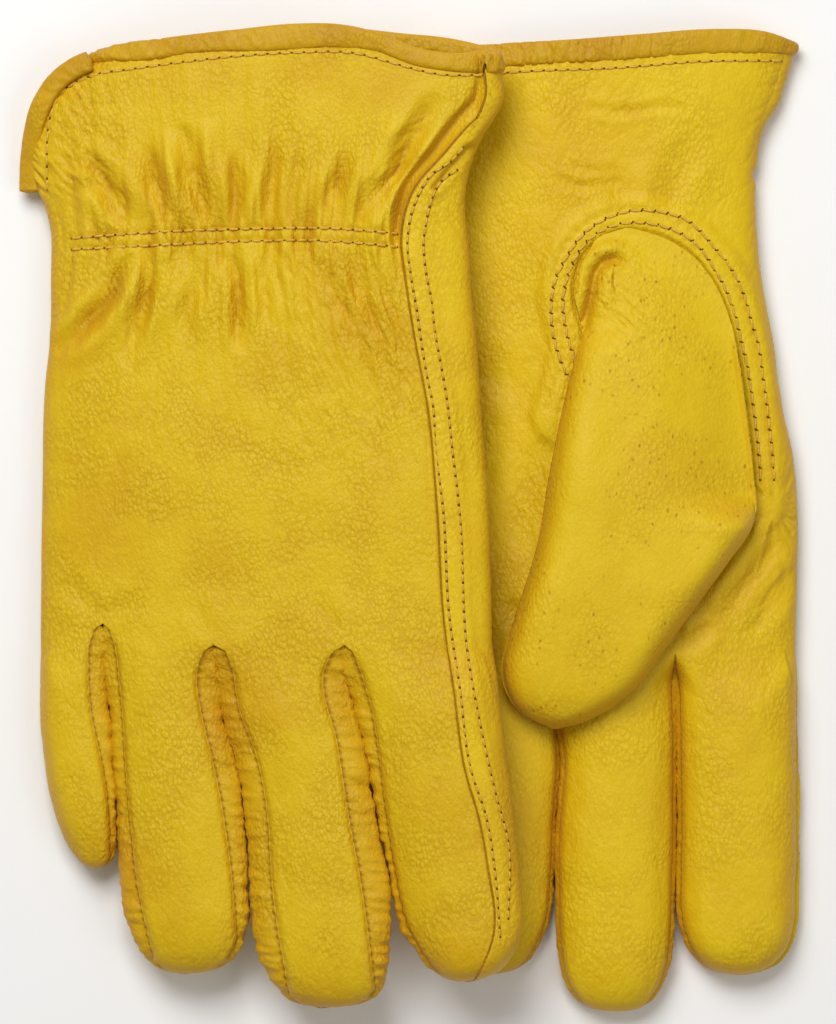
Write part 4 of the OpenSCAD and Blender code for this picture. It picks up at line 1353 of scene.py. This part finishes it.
def leather(name, base, shade, light_tone_and_highlight, grain=1.0, pores=0.0, rough=0.5):
    """Grain leather: pebbled, with soft blotches and, on some, open pores; painted shade in its
    hollows and on its steep sides, and a painted highlight on its ridges.
    """
    m = Nodes(name)
    at = m.add("ShaderNodeTexCoord").outputs["Object"]
    warp = m.vector("MULTIPLY", m.noise(at, 260.0, 2.0, output="Color"), (0.0012,) * 3)
    bent = m.vector("MULTIPLY", m.vector("ADD", at, warp), (1.15, 0.78, 1.0))
    large, small = m.cells(bent, 900.0), m.cells(bent, 1500.0)
    fine, mid = m.noise(at, 2600.0, 3.0), m.noise(at, 420.0, 4.0)
    wide, zone = m.noise(at, 34.0, 3.0), m.noise(at, 58.0, 2.0)
    broad = m.painted("broad")

    coarse = m.math("ADD", m.times(m.ramp(zone, 0.38, 0.62), 0.75), 0.25)
    pebble = m.times(m.ramp(large, 0.15, 0.8), coarse)
    line = m.math("ADD", pebble, m.times(m.ramp(small, 0.15, 0.8), 0.3))
    # Painted shade: the mesh's small and broad hollows are darkened towards the crease colour.
    painted_crease_shade = m.math("ADD", m.ramp(m.painted("hollow"), 0.01, 0.36),
                  m.times(m.ramp(broad, 0.05, 0.5), 0.8), True)
    # Painted highlight: ridges, where the surface bulges, are lightened; the same light colour also
    # gives random mottling.
    painted_ridge_highlight = m.ramp(m.times(broad, -1.0), 0.02, 0.3)

    colour = m.blend(base, shade, m.ramp(wide, 0.42, 0.75))
    colour = m.blend(colour, light_tone_and_highlight, m.times(m.ramp(mid, 0.5, 0.75), 0.3))
    colour = m.blend(colour, light_tone_and_highlight, m.times(painted_ridge_highlight, 0.45))
    colour = m.blend(colour, GRAIN_AND_CREASE_SHADE, m.times(line, 0.24 * grain))
    # Painted shade on steep sides, darker and more orange.
    colour = m.blend(colour, PAINTED_SIDE_SHADE, m.times(m.ramp(m.painted("side_shade"), 0.02, 0.45), 0.5))
    colour = m.blend(colour, GRAIN_AND_CREASE_SHADE, m.times(painted_crease_shade, 0.5))
    if pores:
        dots = m.ramp(m.cells(bent, 420.0), 0.24, 0.08)
        colour = m.blend(colour, GRAIN_AND_CREASE_SHADE, m.times(m.times(dots, m.ramp(zone, 0.36, 0.56)), pores))
    colour = m.blend(colour, SEAM, m.times(m.ramp(m.painted("seam"), 0.45, 0.95), 0.8))
    height = m.math("ADD", m.times(line, -grain),
                    m.math("ADD", m.times(fine, 0.15), m.times(mid, 0.25)))
    m.set(Base_Color=colour, Normal=m.bump(height, 0.7, 0.00026),
          Roughness=m.math("ADD", m.times(mid, 0.16), rough - 0.08),
          Specular_IOR_Level=0.26, Sheen_Weight=0.05, Sheen_Roughness=0.4)
    return m.mat


def suede():
    """The rough inner face of the leather."""
    m = Nodes("suede")
    at = m.add("ShaderNodeTexCoord").outputs["Object"]
    nap = m.noise(at, 1500.0, 5.0)
    colour = m.blend(rgb(178, 126, 18), rgb(140, 90, 8), m.noise(at, 90.0, 3.0))
    colour = m.blend(colour, rgb(198, 148, 40), m.ramp(nap, 0.45, 0.8))
    m.set(Base_Color=colour, Normal=m.bump(nap, 0.8, 0.0003), Roughness=0.92,
          Specular_IOR_Level=0.15, Sheen_Weight=0.12, Sheen_Roughness=0.5)
    return m.mat


def plain(name, dark, light, scale, rough, bump_size):
    """A fibrous material between two colours: thread, the painted shadow of the stitch holes, and the
    elastic.
    """
    m = Nodes(name)
    at = m.add("ShaderNodeTexCoord").outputs["Object"]
    fibre = m.noise(at, scale, 4.0, distortion=1.0)
    m.set(Base_Color=m.blend(dark, light, m.ramp(fibre, 0.35, 0.65)), Roughness=rough,
          Normal=m.bump(fibre, 0.6, bump_size), Specular_IOR_Level=0.25)
    return m.mat


def make_materials():
    """The materials, by the names that the pieces ask for."""
    back = leather("back_leather", rgb(222, 187, 14), rgb(214, 170, 8), rgb(230, 202, 30))
    palm = leather("palm_leather", rgb(228, 194, 14), rgb(220, 178, 10), rgb(236, 208, 30), 0.8)
    thumb = leather("thumb_leather", rgb(225, 191, 16), rgb(220, 182, 14), rgb(231, 205, 34),
                    0.7, 0.7, 0.55)
    # The fourchettes get a darker, more orange copy of the leather: painted shade of the sides
    # between the fingers.
    wall = leather("fourchette_leather", rgb(216, 174, 10), rgb(204, 152, 6),
                   rgb(226, 190, 24))
    edge = leather("binding", rgb(202, 158, 10), rgb(190, 138, 6), rgb(216, 180, 22), 0.8)
    return dict(back=back, palm=palm, thumb=thumb, wall=wall, binding=edge, suede=suede(),
                thread=plain("thread", rgb(202, 154, 42), rgb(228, 188, 78), 2400.0, 0.6,
                             0.00008),
                # Dark brown discs: painted shadow in the stitch holes.
                hole=plain("hole_shadow_disc", rgb(92, 52, 4), rgb(122, 74, 10), 900.0, 0.9, 0.00005),
                elastic=plain("elastic", rgb(205, 198, 178), rgb(236, 232, 218), 1300.0, 0.85,
                              0.0002))


# --- Studio ---------------------------------------------------------------------------------

FLOOR_HALF, FLOOR_Z = 3, -0.0002
VIEW_DISTANCE, VIEW_HEIGHT, SENSOR = 1.9, 0.256, 24.0


def studio():
    """The camera that looks straight down, two soft lights and the white floor."""
    scene = bpy.context.scene
    scene.view_settings.view_transform = "Standard"
    cam = bpy.data.objects.new("camera", bpy.data.cameras.new("camera"))
    scene.collection.objects.link(cam)
    cam.location = (0.00275, 0.0016, VIEW_DISTANCE + 0.012)
    cam.data.sensor_fit = "VERTICAL"
    cam.data.sensor_height = SENSOR
    cam.data.lens = SENSOR * VIEW_DISTANCE / VIEW_HEIGHT
    scene.camera = cam

    world = bpy.data.worlds.new("world")
    scene.world = world
    world.use_nodes = True
    sky = world.node_tree.nodes["Background"].inputs
    sky["Color"].default_value = (1, 0.965, 0.9, 1)
    sky["Strength"].default_value = 0.27

    def area(name, place_at, size, power):
        light = bpy.data.lights.new(name, "AREA")
        light.size, light.energy = size, power
        ob = bpy.data.objects.new(name, light)
        ob.location = place_at
        ob.rotation_euler = (-Vector(place_at)).to_track_quat("-Z", "Y").to_euler()
        scene.collection.objects.link(ob)

    area("key", (-0.26, 0.66, 1.1), 0.7, 13.4)
    area("fill", (0.8, -0.3, 1.3), 0.8, 3.2)

    floor = bpy.data.meshes.new("floor")
    corners = [(i * FLOOR_HALF, j * FLOOR_HALF, FLOOR_Z)
               for i, j in ((-1, -1), (1, -1), (1, 1), (-1, 1))]
    floor.from_pydata(corners, [], [(0, 1, 2, 3)])
    ob = bpy.data.objects.new("floor", floor)
    m = Nodes("floor")
    m.set(Base_Color=(0.95, 0.95, 0.95, 1), Roughness=0.9)
    floor.materials.append(m.mat)
    scene.collection.objects.link(ob)


# --- The pair -------------------------------------------------------------------------------

mats = make_materials()
for side in (LEFT, RIGHT):
    glove = build_glove(side)
    dress(side, glove, mats)
    lay_thumb(side, mats)
    lining(side, glove, mats["suede"])
    bindings(side, glove, mats)
    elastic(side, mats["elastic"])
    sew(side, glove, mats)
studio()
